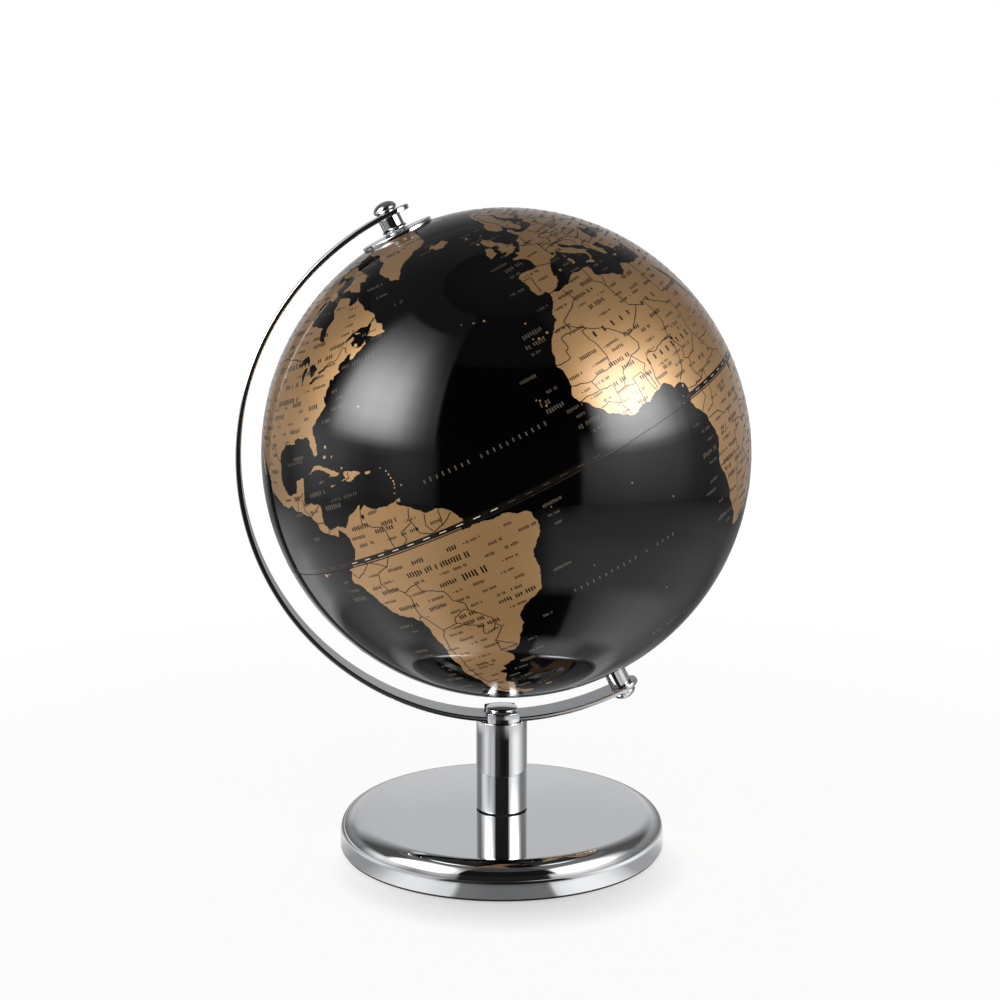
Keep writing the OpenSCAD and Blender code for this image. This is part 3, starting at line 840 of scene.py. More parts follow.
WATERS = """
black_sea: 28 42, 28.6 43.6, 30.7 46.4, 33 46, 33.5 44.5, 36 45.2, 35 46.2, 38.5 47, 37.5 44.7, 41.5 42,
 41 41.1, 38 41, 35 42, 31.4 41.3, 29 41.2
caspian: 47.2 45, 51 47, 53 46.7, 53 45.2, 50.5 44.6, 52.8 42, 53 40, 53.9 37.3, 50 37.4, 48.9 38.5,
 49.8 40.5, 48.3 42, 47.2 43.5
aral: 58.5 45.5, 60 46.6, 61.8 46, 59.5 44
balkhash: 74 46, 78 46.8, 79 46.4, 75 45.4
baikal: 103.8 51.5, 108 53.6, 109.8 55.7, 108.6 54, 105.5 51.6
superior: -92 46.7, -89 48.3, -86 48.7, -84.7 46.7, -88 46.9
michigan: -87.6 41.7, -88 44.2, -86.5 45.9, -85.2 45.6, -86.4 43.5, -86.8 41.8
huron: -84.3 46, -81.5 46, -80 44.6, -81.7 43.4, -82.5 43, -83.4 44, -84.3 45.7
erie: -83.3 41.8, -79 42.8, -80 42.2, -82.5 41.4
ontario: -79.7 43.4, -77.5 44, -76.3 44.1, -76.4 43.5, -79 43.3
winnipeg: -98.5 53.8, -97.5 52, -96.4 50.4, -97.5 53.5
great_bear: -125 66, -121 67, -118 66, -121 65
great_slave: -116.5 61, -113 62.4, -109.5 62.8, -114 61
maracaibo: -71.9 10.2, -71.2 10.3, -71.2 9.3, -71.9 9.4
titicaca: -70 -15.4, -68.9 -16.2, -69.4 -16.2
chad: 13.5 13.3, 14.5 13.6, 14.8 12.8, 13.8 12.7
victoria_lake: 31.8 -0.6, 32.2 -2.4, 33.4 -2.2, 34.2 -0.3, 32.6 0.3
tanganyika: 29.3 -3.5, 29.8 -6, 31 -8.7, 30.4 -8.6, 29.2 -6
malawi: 34 -9.6, 35 -12, 35 -14.3, 34.4 -12
ladoga: 30.2 61.2, 32 61.6, 33 60.8, 31.4 60
onega: 34.8 62.4, 36.3 61.6, 35.6 60.9
vanern: 12.6 59.2, 14 59.1, 13.2 58.4
"""

# small islands, each a dot at "longitude latitude diameter"
DOTS = """
-63 18.1 0.3, -61.8 17.1 0.4, -61.5 16.2 0.5, -61.3 15.4 0.4, -61 14.6 0.5, -61 13.9 0.4, -61.2 13.2 0.35,
-61.7 12.1 0.35, -59.5 13.2 0.4, -78 24.4 0.9, -77.2 26.5 0.7, -75.6 24 0.5, -73.3 21 0.5, -81.2 19.3 0.3,
-64.8 32.3 0.35, -28.2 38.5 0.5, -25.5 37.8 0.6, -31.2 39.5 0.3, -17 32.7 0.5, -16.5 28.3 0.6,
-15.5 28 0.5, -14 28.5 0.6, -17.9 28.7 0.4, -23.6 15 0.5, -25 17 0.4, -24.3 16.6 0.4, -14.4 -7.9 0.35,
-5.7 -15.9 0.35, -29.3 -20.5 0.3, -12.3 -37.1 0.35, -32.4 -3.9 0.3, 3.4 -54.4 0.3, 6.6 0.3 0.3,
7.4 1.6 0.3, 8.7 3.5 0.6, -91 -0.6 1, -89.7 -0.5 0.5, -155.5 19.6 1.2, -156.4 20.8 0.7, -158 21.5 0.6,
-159.5 22 0.5, -7 62 0.6, -1.3 60.3 0.5, -7 58 0.8, 18.5 57.5 0.8, 3 39.6 0.8, 14.4 35.9 0.3, 28 36.3 0.6,
45.5 -12.5 0.5, 43.4 -11.7 0.5, 55.5 -21.1 0.6, 57.6 -20.3 0.5, 69.5 -49.3 1.4, 73 4 0.3, 93 12.3 0.8,
144.8 13.4 0.5, 134.5 7.5 0.4, 160 -9.4 1.4, 157 -8 0.9, 155 -6.3 1.5, 167 -15.5 1.2, 178 -17.9 1.3,
179.8 -16.7 0.7, -172 -13.6 0.8, -149.5 -17.7 0.6, -109.4 -27.1 0.4, 115.2 -8.4 0.9, 116.5 -8.7 0.9,
118 -8.6 1.2, 129 -3.1 1.4, 127.8 0.8 1.2, 106.3 -2.5 0.9, 133.5 33.7 1.4, 126.5 33.4 0.5, 118 9.5 1.2,
-171 63.4 0.8, -153.5 57.5 1.2, -132 53.2 1, -83 68.8 0.2, -80 62.2 0.5, 169 -46.9 0.6, -176.5 -44 0.4,
-67.8 -49.3 0.1, -63.8 46.5 0.9, -72.8 40.9 0.7
"""

BORDERS = """
-51.7 4, -54.5 2.3, -58 1.6, -60 2.5, -60.7 5.2, -64 4, -63.4 2.3, -66 0.8, -67 1.2, -69.8 1.7,
 -69.9 -0.3, -71.3 -2, -74.3 -2.8, -75.3 -5.3, -74.3 -7.3, -71.9 -7.6, -70.8 -8.8, -66.8 -7.8, -66.5 -9.8,
 -61.8 -11.5, -61.3 -14.1, -59.1 -15.8, -59.4 -17.8, -57.1 -20.1, -55.7 -21.8, -55.9 -23.4, -55.1 -24.8,
 -58.9 -28, -54.8 -31.4
-71.5 11.5, -72.5 8.5, -70 7, -67.5 6.2, -67.3 2.5, -67 1.2
-60 8.2, -61 6, -60.7 5.2
-57.2 6, -58 3.5, -57 2
-54 5.7, -54.5 2.4
-78.8 1.4, -75.3 0, -74 -0.6, -71.3 -2
-81.6 -1.3, -80.3 -2.8, -76.2 -0.4, -75.3 0
-70.8 -8.8, -70.1 -10.3, -70.7 -12.8, -70.8 -15.4, -71.7 -16.1
-70.8 -15.4, -69.6 -17.8, -68.3 -20.7, -69.7 -22.3, -71 -25.8, -71.3 -30.8, -72.6 -34.8, -73.1 -38.8,
 -73.1 -42.8, -74.3 -47.8, -73.3 -49.8, -69.8 -50.1
-68.3 -20.7, -64.1 -19.9, -63.5 -18.4, -60.3 -17.1, -59.4 -17.8
-64.1 -19.9, -59 -23, -59.9 -25.1, -57.3 -25.1, -55.9 -23.4
-58.9 -28, -59.6 -31.7
-13.2 27.7, -8.7 27.7, -8.7 27.3, -4.8 25, 1.2 21.1, 3.3 19, 5.8 19.5, 12 23.5, 14.2 22.6, 16 23.5,
 24 19.5
-8.7 27.3, -8.7 26, -12 26, -12 23.4, -13 23, -13 21.3, -17 21.3
-4.8 25, -6.5 25, -5.5 15.5, -9.5 15.4, -12 14.8
-16.4 16, -12 14.8, -11.4 12.4, -15 12.6, -16.8 12.4
-11.4 12.4, -8 12, -8 10.2, -8.3 7.6, -11 9.5, -13 9
-8.5 7.5, -7.5 4.4
-8 10.2, -5.5 10.4, -2.8 9.7, -3 5.1
-2.8 9.7, -2.8 11, 0 11.1, 0.5 8, 1.2 6.1
1.6 6.2, 1.6 9, 0.9 11
2.7 6.4, 2.8 9, 3.6 11.7
3.6 11.7, 4 13.5, 7 13, 13.5 13.7, 14.2 12.5, 12 7.5, 8.8 4.8
3.3 19, 4.2 16.5, 3.5 15.4, 0.2 15, -4 13.2, -5.5 10.4
0.2 15, 2.2 12, 0.9 11
8.5 36.9, 8.2 34.5, 7.6 33.2, 9.1 32, 9.5 30.2, 9.8 26.5, 10 24.3, 12 23.5
9.5 30.2, 11.5 33.1
-2.2 35.1, -1.5 32.2, -3.5 31, -8.7 28.7, -8.7 27.7
25 31.6, 25 22, 37 22
24 19.5, 24 15.7, 22.5 13, 22.9 11, 24 8.7, 27.5 5
14.2 12.5, 15.5 10, 14 8, 15.5 7.5, 14.5 4.8, 16.2 2.2, 9.8 2.3
22.9 11, 18.6 8, 15.5 7.5
16.2 2.2, 13.3 2.2, 14.4 -1.5, 11.1 -3.9
16.2 2.2, 18.6 3.5, 22.5 4.2, 27.5 5, 31 3.7, 29.7 0, 29.2 -3
13.5 13.7, 15.5 17, 15 23
18.6 3.5, 17.5 -1, 16 -4, 13 -4.7
12.4 -6, 16.8 -6, 19.5 -7.8, 21.8 -7.3, 22 -11, 24 -11, 24 -13, 22 -13, 22 -16.3, 23.4 -17.6, 18.4 -17.4,
 12 -17.2
24 -11, 28.5 -12, 29.7 -13.4, 29 -9, 30.8 -8.3
25.3 -17.8, 27.7 -20.5, 29.4 -22.2, 25.7 -25.4, 20.7 -26.9
25.3 -17.8, 30.4 -15.6, 33 -17.5, 32.4 -21.3, 31.3 -22.4, 29.4 -22.2
31.3 -22.4, 32 -26.8
33 -9.4, 33.2 -14, 30.3 -15
31 -8.6, 34 -9.5, 34.7 -11.5, 40.3 -10.5
34 -1, 39.2 -4.7
34 -1, 34 4.2, 41.9 4, 41.5 -1.7
34 4.2, 34 8, 36.4 14.3, 40 14.5, 42.4 12.5, 43 11, 44 9, 48 8, 45 5, 41.9 4
24 8.7, 33 9.7
-8.8 41.9, -6.2 41.6, -7 39, -7.4 37.2
-1.8 43.4, 3.1 42.5
2.6 51.1, 6 49.5, 8.2 49, 7.6 47.6, 6.8 46, 7.5 43.8
7 53.3, 6 51, 6.1 49.6
14.3 53.9, 14.8 51, 12.2 50.2, 13.8 48.7, 13 47.6, 10.5 47.5, 7.6 47.6
6.8 46, 10.4 46.5, 13.7 46.5, 13.6 45.6
19.8 54.4, 23.5 54, 23.6 51.5, 22.6 49.1, 18.8 49.5, 14.8 51
13.8 48.7, 17 48.7, 18.8 49.5
17 48, 22.8 48, 20.5 46.1, 16.5 46.5, 17 48
22.8 48, 26.7 48.2, 28.2 45.5, 22.7 44.2, 20.5 46.1
22.7 44.2, 22.4 42.3, 23 41.3, 26.3 41.7, 28 42
19.4 41.9, 20.5 42, 21 40.9, 20 39.7
16.5 46.5, 19 45, 19.3 43.3
11.2 59, 12.3 61, 12.2 63.8, 14.5 66, 18.2 68.5, 20.5 69, 24.2 65.8
28 60.5, 31.5 62.9, 29.7 65, 30 67.7, 28.5 69
28 59.4, 27.5 57.5, 28.2 56.2, 26.5 55.7, 23.5 54
23.6 51.5, 30.6 51.3, 31.8 52.1, 34 52, 35.5 50.4, 40 49.6, 38.2 47.1
28.2 56.2, 31 55, 32.7 53.4, 31.8 52.1
41.5 41.5, 44.5 39.9, 44.5 37.2, 42.3 37.2, 36.2 36.8
44.5 37.2, 46 35, 45.8 33, 48 30.3
34.9 29.4, 37.5 30.5, 39 32.2, 42 31.1, 46.5 29.1
43 16.5, 47 17, 52 19, 53.1 16.7
52 19, 55 20, 55.2 22.7, 56 24
36.5 32.5, 38.8 33.4, 41.2 34.5, 42.3 37.2
53.9 37.3, 57.5 38.2, 61.2 36.5, 60.7 34, 61 31.5, 61.7 30, 63 27, 61.7 25.2
61 29.9, 66.3 29.9, 69.5 33, 71.5 36, 74.5 37, 71 38, 68 37, 64.5 36, 61.2 36.5
68.2 23.8, 70 28, 73.5 30, 74.5 32.5, 75.5 35, 78.5 34.5
74.5 37, 78.5 34.5, 81 30.2, 88 27.9, 92 27.7, 97.3 28.3, 98.5 24, 101.5 21.5, 106 23, 108 21.6
80.2 28.8, 84 27.4, 88 26.5, 88 27.9
88.9 22, 88.5 26, 92.3 25, 92.3 22
74.5 37, 74 40, 80.2 42, 82.5 45.2, 87.5 49.1
49 46.5, 47 50, 54 51, 61 51, 62 54, 70 55.2, 77 54, 80 50.8, 87.5 49.1
87.5 49.1, 92 50.7, 98 50.5, 102 51.4, 108 49.5, 116.5 49.8, 119.7 46.7, 111.5 44, 105 41.7, 96.5 42.7,
 91 45.2, 87.5 49.1
116.5 49.8, 121 53.3, 127.5 50, 131 47.7, 134.7 48.3, 131 44.9, 130.6 42.4
124.4 40, 130.6 42.4
126.7 37.8, 128.3 38.6
98.5 24, 97.7 18.5, 98.8 16.5, 98.9 12
101.5 21.5, 100.5 20, 101 17.7, 104.7 17, 105.6 14.5, 102.5 13.7, 102.9 11.8
101.5 21.5, 104 20, 107 16, 107.5 12, 105 10.6
53 42, 56 41.3, 60 42, 66.5 37.3
56 45, 61 44, 66 42, 68 41, 74 43, 80 42
-123 49, -95.2 49, -89.5 48
-79 43, -76.3 44.2, -74.7 45, -71.5 45, -70 46.5, -69 47.4, -67.8 47, -67.5 45.6
-141 69.6, -141 60.3, -137.5 59.3, -130.2 55.8
-117.1 32.5, -114.8 32.5, -111 31.3, -108.2 31.4, -106.5 31.8, -103 29, -101 29.7, -99.5 27.5, -97.2 25.9
-92.2 14.6, -91.4 17, -89.2 17.9, -88.3 18.4
-89.2 17.8, -89.2 15.9, -88.2 15.7
-89.3 15.8, -89.3 14.4, -87.7 13.2
-87.3 13, -83.2 15
-85.7 11.1, -83.7 10.9
-82.9 8.2, -82.6 9.4
141 -2.7, 141 -9
109.7 2, 111 1, 114 1.5, 115.5 4.2, 117.6 4.2
-73.5 18.3, -71.8 18.5, -71.8 19.8
20 -22, 20 -28.4, 17 -28.5
20 -22, 21 -18.2
"""

# Names on the map are stood for by rows of plain strokes, which spell nothing.
# Each big row is "longitude latitude strokes height pitch", the last two in millimetres.
BIG_ROWS = """
-60 -5.5 24 2.4 1.15, -53 -10 9 2.9 1.3, -65.5 -14.5 8 1.9 1.0, -60 -20.8 9 1.9 1.0, -66.5 -34 10 1.7 0.9,
-65.5 7 9 1.7 0.9, -73.5 4 9 1.4 0.8, -77 -6 6 1.5 0.8, -95 39 14 2.2 1.3, -105 56 9 2.2 1.6,
-98 47 16 2.6 2.4, -102 24 8 1.5 1.0, 2.5 28.5 8 1.8 1.1, 17 27 6 1.4 1.1, -9 20 10 1.5 0.8,
-1.5 18 6 1.5 1.0, 9 18 6 1.5 1.0, 18.5 15 6 1.5 1.0, 8 23 9 2.4 5.0, 12 12 8 2.6 4.2, 8 9 8 1.4 0.8,
30 15 6 1.4 1.0, 23 -2 9 1.5 0.9, 24 -29 11 1.5 0.9, 17 -11 7 1.4 0.9, 28 26 6 1.4 1.0, 45 24 9 1.5 1.0,
-3.5 40 6 1.3 0.8, 2 47 7 1.3 0.8, 25 52 10 2.0 2.2, 66 48 10 1.5 1.1, 78 22 8 1.8 1.2, 103 35 8 2.0 1.6,
95 62 12 2.2 1.8, 134 -25 12 2.2 1.6, -42 72 10 1.4 0.9, 60 -76 14 2.0 2.4
"""

FAINT_ROWS = """
-40 12 20 1.7 2.6, -22 -24 18 1.5 2.6, -140 15 20 1.8 2.8, -125 -25 20 1.8 2.8, 78 -22 16 1.8 2.6,
165 18 18 1.8 2.8, -75 15 12 1.2 1.2, -90 25 10 1.2 1.2, 0 -52 16 1.6 2.4
"""

# Detail of the outlines, in degrees on the map.
FINEST_BEND = 0.45
COAST_WANDER = 0.13
BORDER_WANDER = 0.07
SEAM_LATITUDE = 0.14
LATTICE_STEP = 1.5

# One degree of latitude, in metres on the ball.
DEGREE = math.radians(1) * BALL_RADIUS

# The rows of strokes between the big ones: where they lie in degrees, and their sizes in millimetres.
ROW_SEED = 11
ROWS_FROM = -56
ROWS_TO = 76
ROW_HEIGHTS = (1.0, 1.1, 1.2, 1.3, 1.8)
ROW_PITCH_SHARE = 0.6
STROKE_GAP_CHANCE = 0.12
SHORE_ROW_CHANCE = 0.8
TOWN_HEIGHT = 1.15
TOWN_DOT = 0.55
SHORE_REACH = 7

# The equator's band, in degrees of latitude. No row of strokes lies within BAND_MARGIN of BAND_CLEAR.
BAND_LOW = 0.3
BAND_HIGH = 1.4
BAND_CLEAR = 0.8
BAND_MARGIN = 1.6


def numbers(text):
    """Rows of numbers from text in which commas part the rows."""
    return [tuple(map(float, row.split())) for row in text.replace("\n", " ").split(",")]


def outlines(text):
    """Lists of (longitude, latitude) points, one for each line.

    A line that starts with a space goes on from the one before.
    """
    entries = text.strip().replace("\n ", " ").splitlines()
    return [numbers(entry.split(":")[-1]) for entry in entries]


def bent(start, end, wander):
    """Points from start up to end, with a seeded wiggle that is the same in both directions."""
    first, last = sorted((start, end))
    least_squash = 0.1
    squash = max(math.cos(math.radians((first[1] + last[1]) / 2)), least_squash)
    across = (last[0] - first[0]) * squash
    up = last[1] - first[1]
    if math.hypot(across, up) < FINEST_BEND:
        return [start]
    shift = random.Random(repr((first, last))).uniform(-wander, wander)
    middle = (
        (first[0] + last[0]) / 2 - up * shift / squash,
        (first[1] + last[1]) / 2 + across * shift,
    )
    return bent(start, middle, wander) + bent(middle, end, wander)


def wandering(points, wander, closed):
    """The whole outline with its wiggle, going the short way round the ball."""
    path = []
    here = points[0]
    ahead = points[1:] + points[:1] if closed else points[1:]
    for longitude, latitude in ahead:
        turns = round((here[0] - longitude) / 360)
        there = (longitude + 360 * turns, latitude)
        path += bent(here, there, wander)
        here = there
    return path if closed else path + [here]


def half_of(ring, side):
    """The part of a ring on one side of the seam, cut along a parallel of latitude."""
    kept = []
    for (x0, y0), (x1, y1) in zip(ring, ring[1:] + ring[:1]):
        over0 = y0 * side - SEAM_LATITUDE
        over1 = y1 * side - SEAM_LATITUDE
        if over0 >= 0:
            kept.append((x0, y0))
        if (over0 >= 0) != (over1 >= 0):
            share = over0 / (over0 - over1)
            kept.append((x0 + (x1 - x0) * share, SEAM_LATITUDE * side))
    result = []
    just_over = SEAM_LATITUDE * 1.001
    for here, there in zip(kept, kept[1:] + kept[:1]):
        result.append(here)
        on_cut = max(abs(here[1]), abs(there[1])) < just_over
        steps = int(abs(there[0] - here[0]))
        if on_cut and steps > 1:
            result += [(here[0] + (there[0] - here[0]) * k / steps, here[1]) for k in range(1, steps)]
    return result


def flat_place(longitude, latitude, side):
    """A pole-centred flat map of one half of the ball, in degrees from the pole."""
    reach = 90 - latitude * side
    turn = math.radians(longitude)
    return Vector((reach * math.cos(turn), reach * math.sin(turn)))


def ball_place(flat, side, radius):
    """The point on the ball for a point of the flat map."""
    longitude = math.degrees(math.atan2(flat.y, flat.x))
    return on_ball(longitude, side * (90 - flat.length), radius)


def lattice(side):
    """An even spread of points over one half of the ball."""
    places = [Vector((0, 0))]
    last_reach = 89
    rows = int(last_reach / LATTICE_STEP)
    for k in range(1, rows + 1):
        reach = k * LATTICE_STEP
        count = max(6, round(360 * math.sin(math.radians(reach)) / LATTICE_STEP))
        for i in range(count):
            longitude = 360 * (i + 0.5 * (k % 2)) / count
            places.append(flat_place(longitude, side * (90 - reach), side))
    return places


def dot_ring(longitude, latitude, size):
    """A small uneven round outline."""
    rng = random.Random(repr((longitude, latitude)))
    squash = math.cos(math.radians(latitude))
    corners = 7
    ring = []
    for k in range(corners):
        turn = 2 * math.pi * k / corners
        reach = size / 2 * rng.uniform(0.7, 1.3)
        ring.append((longitude + reach * math.cos(turn) / squash, latitude + reach * math.sin(turn)))
    return ring


def land_rings():
    """The wiggly outlines of all land, and those of inland water."""
    land = [wandering(ring, COAST_WANDER, True) for ring in outlines(CONTINENTS) + outlines(ISLANDS)]
    land += [dot_ring(*dot) for dot in numbers(DOTS)]
    water = [wandering(ring, COAST_WANDER, True) for ring in outlines(WATERS)]
    return land, water


def mark_inside(found, places, ring):
    """Turns on the entries of found whose place is inside the ring."""
    corners = numpy.array(ring)
    near = numpy.all((places > corners.min(axis=0)) & (places < corners.max(axis=0)), axis=1)
    x, y = places[near].T
    odd = numpy.zeros(len(x), bool)
    for (x0, y0), (x1, y1) in zip(ring, ring[1:] + ring[:1]):
        if y0 != y1:
            crossing = (y0 > y) != (y1 > y)
            odd ^= crossing & (x < x0 + (x1 - x0) * (y - y0) / (y1 - y0))
    found[near] |= odd


def round_shading(mesh):
    """Shades a printed layer as part of the ball, with its normals pointing straight out."""
    mesh.shade_smooth()
    normals = [(v.co - BALL_CENTRE).normalized() for v in mesh.vertices]
    mesh.normals_split_custom_set_from_vertices(normals)


def land_piece(name, side, land, water):
    """The foil land of one half: a thin raised plate with true coastlines, curved with the ball."""
    points = []
    edges = []
    flat_rings = {"land": [], "water": []}
    for kind, rings in (("land", land), ("water", water)):
        for ring in rings:
            part = half_of(ring, side)
            if len(part) < 3:
                continue
            flat = [flat_place(longitude, latitude, side) for longitude, latitude in part]
            start = len(points)
            edges += [(start + i, start + (i + 1) % len(flat)) for i in range(len(flat))]
            points += flat
            flat_rings[kind].append([(spot.x, spot.y) for spot in flat])
    points += lattice(side)
    flat, _, triangles, _, _, _ = delaunay_2d_cdt(points, edges, [], 0, 1e-5, False)

    middles = numpy.array([(flat[a] + flat[b] + flat[c]) / 3 for a, b, c in triangles])
    shown = numpy.zeros(len(triangles), bool)
    drowned = numpy.zeros(len(triangles), bool)
    for ring in flat_rings["land"]:
        mark_inside(shown, middles, ring)
    for ring in flat_rings["water"]:
        mark_inside(drowned, middles, ring)
    top = [
        tuple(triangle) if side > 0 else tuple(reversed(triangle))
        for triangle, dry in zip(triangles, shown & ~drowned)
        if dry
    ]
    used = sorted({i for triangle in top for i in triangle})
    index = {old: new for new, old in enumerate(used)}
    top = [tuple(index[i] for i in triangle) for triangle in top]
    count = len(used)
    vertices = [ball_place(flat[i], side, LAND_RADIUS) for i in used]
    vertices += [ball_place(flat[i], side, LAND_RADIUS - PLATE_DEPTH) for i in used]
    bottom = [tuple(i + count for i in reversed(triangle)) for triangle in top]
    directed = {(t[k], t[(k + 1) % 3]) for t in top for k in range(3)}
    walls = [(b, a, a + count, b + count) for a, b in directed if (b, a) not in directed]

    mesh = plain_mesh(name, vertices, top + bottom + walls)
    piece(mesh, "globe", GOLD, smooth_angle=None)
    round_shading(mesh)


class Print:
    """Thin printed marks that stand a hair above the foil or the lacquer."""

    def __init__(self, name, material, base_radius):
        self.name = name
        self.material = material
        self.base_radius = base_radius
        self.vertices = []
        self.faces = []

    def patch(self, corners):
        """A flat mark with the given (longitude, latitude) corners, in east-about order."""
        start = len(self.vertices)
        count = len(corners)
        for radius in (INK_RADIUS, self.base_radius):
            self.vertices += [on_ball(longitude, latitude, radius) for longitude, latitude in corners]
        self.faces.append(tuple(range(start, start + count)))
        self.faces.append(tuple(reversed(range(start + count, start + 2 * count))))
        for i in range(count):
            j = (i + 1) % count
            self.faces.append((start + j, start + i, start + count + i, start + count + j))

    def ribbon(self, path, width, closed=False):
        """A line of even width along (longitude, latitude) points."""
        start = len(self.vertices)
        spots = [on_ball(longitude, latitude, 1.0) - BALL_CENTRE for longitude, latitude in path]
        count = len(spots)
        for i, spot in enumerate(spots):
            before = spots[i - 1] if i or closed else spot
            after = spots[(i + 1) % count] if i + 1 < count or closed else spot
            side = spot.cross(after - before).normalized() * width / 2
            top = ((INK_RADIUS, side), (INK_RADIUS, -side))
            root = ((self.base_radius, -side), (self.base_radius, side))
            for radius, offset in top + root:
                self.vertices.append(BALL_CENTRE + (spot * radius + offset).normalized() * radius)
        for i in range(count if closed else count - 1):
            here = start + 4 * i
            there = start + 4 * ((i + 1) % count)
            for k in range(4):
                j = (k + 1) % 4
                self.faces.append((here + k, here + j, there + j, there + k))
        if not closed:
            last = start + 4 * (count - 1)
            self.faces.append((start + 3, start + 2, start + 1, start))
            self.faces.append((last, last + 1, last + 2, last + 3))

    def row(self, longitude, latitude, strokes, height, pitch, rng):
        """A row of plain strokes of uneven height, centred on a place and level with the parallel.

        Height and pitch are in millimetres. Now and then a stroke is left out.
        """
        squash = math.cos(math.radians(latitude))
        width = min(0.36 * height, 0.56 * pitch)
        for k in range(int(strokes)):
            if rng.random() < STROKE_GAP_CHANCE:
                continue
            x = (k - (strokes - 1) / 2) * pitch
            low = -height / 2 * rng.choice((1, 1, 0.7))
            high = height / 2 * rng.choice((1, 1, 0.75))
            west = longitude + (x - width / 2) * MM / DEGREE / squash
            east = longitude + (x + width / 2) * MM / DEGREE / squash
            south = latitude + low * MM / DEGREE
            north = latitude + high * MM / DEGREE
            self.patch([(west, south), (east, south), (east, north), (west, north)])

    def dot(self, longitude, latitude, size):
        """A round spot, such as a town, with its size in millimetres."""
        squash = math.cos(math.radians(latitude))
        reach = size * MM / 2 / DEGREE
        corners = polygon(reach, 8)
        self.patch([(longitude + across / squash, latitude + up) for across, up in corners])

    def raise_by(self, height):
        """Moves all marks made so far away from the ball's centre."""
        self.vertices = [spot + (spot - BALL_CENTRE).normalized() * height for spot in self.vertices]

    def finish(self):
        """Turns the marks into one piece."""
        mesh = plain_mesh(self.name, self.vertices, self.faces)
        piece(mesh, "globe", self.material, smooth_angle=None)
        round_shading(mesh)


def inside(longitude, latitude, rings):
    """Whether a place is inside any of the rings."""
    for ring in rings:
        for shifted in (longitude, longitude + 360):
            crossings = False
            for (x0, y0), (x1, y1) in zip(ring, ring[1:] + ring[:1]):
                if (y0 > latitude) != (y1 > latitude):
                    if shifted < x0 + (x1 - x0) * (latitude - y0) / (y1 - y0):
                        crossings = not crossings
            if crossings:
                return True
    return False


def border_piece():
    """Country borders as fine dark lines."""
    line_width = 0.36 * MM
    lines = Print("border_lines", INK, LAND_RADIUS - INK_ROOT)
    for path in outlines(BORDERS):
        lines.ribbon(wandering(path, BORDER_WANDER, False), line_width)
    lines.finish()


def equator_pieces():
    """A dark band just north of the seam, with dashes along it: pale over land and grey over sea."""
    middle = (BAND_LOW + BAND_HIGH) / 2
    band = Print("equator_band", INK, LAND_RADIUS - INK_ROOT)
    path = [(longitude, middle) for longitude in range(360)]
    band.ribbon(path, (BAND_HIGH - BAND_LOW) * DEGREE, closed=True)
    band.finish()

    continents = outlines(CONTINENTS)
    bright = Print("equator_dashes", PALE_INK, LAND_RADIUS)
    dim = Print("equator_sea_dashes", GREY_INK, LAND_RADIUS)
    dash_step = 4
    half_dash = 0.8
    below_band = -1.5
    land_width = 0.33 * MM
    sea_width = 0.2 * MM
    lift = 0.02 * MM
    for longitude in range(-180, 180, dash_step):
        centre = longitude + half_dash
        over_land = inside(centre, BAND_LOW, continents) or inside(centre, below_band, continents)
        dashes = bright if over_land else dim
        width = land_width if over_land else sea_width
        dashes.ribbon([(longitude + half_dash * k, middle) for k in range(3)], width)
    for dashes in (bright, dim):
        dashes.raise_by(lift)
        dashes.finish()


def mark_pieces():
    """Rows of strokes over land in dark ink and beside the coasts in faint ink."""
    rng = random.Random(ROW_SEED)
    continents = outlines(CONTINENTS)
    dark = Print("land_marks", INK, LAND_RADIUS - INK_ROOT)
    faint = Print("sea_marks", GREY_INK, OCEAN_RADIUS - INK_ROOT)
    big = numbers(BIG_ROWS)
    for row in big:
        dark.row(*row, rng)
    for row in numbers(FAINT_ROWS):
        faint.row(*row, rng)

    def near_big(longitude, latitude, half):
        for row_longitude, row_latitude, strokes, height, pitch in big:
            beside = abs(longitude - row_longitude) < strokes * pitch / 3 + half
            if beside and abs(latitude - row_latitude) < height * MM / DEGREE:
                return True
        return False

    latitude = ROWS_FROM
    while latitude < ROWS_TO:
        squash = math.cos(math.radians(latitude))
        longitude = -180 + rng.uniform(0, 8)
        while longitude < 180:
            strokes = rng.randint(5, 10)
            height = rng.choice(ROW_HEIGHTS)
            pitch = ROW_PITCH_SHARE * height
            half = strokes * pitch / 2 * MM / DEGREE / squash
            clear_of_band = abs(latitude - BAND_CLEAR) > BAND_MARGIN
            if clear_of_band and not near_big(longitude, latitude, half):
                spots = [inside(longitude + half * k, latitude, continents) for k in (-1.1, 0, 1.1)]
                if all(spots):
                    dark.row(longitude, latitude, strokes, height, pitch, rng)
                    if height < TOWN_HEIGHT:
                        dark.dot(longitude - half - 0.5, latitude, TOWN_DOT)
                elif not any(spots):
                    shores = [longitude + side * SHORE_REACH / squash for side in (-1, 1)]
                    near_shore = any(inside(shore, latitude, continents) for shore in shores)
                    if near_shore and rng.random() < SHORE_ROW_CHANCE:
                        faint.row(longitude, latitude, strokes, height, pitch, rng)
            longitude += (2 * half * squash + rng.uniform(1.5, 5.0)) / squash
        latitude += rng.uniform(1.7, 2.5)
    dark.finish()
    faint.finish()


def map_pieces():
    """Everything printed on the ball."""
    land, water = land_rings()
    land_piece("land_north", 1, land, water)
    land_piece("land_south", -1, land, water)
    border_piece()
    equator_pieces()
    mark_pieces()


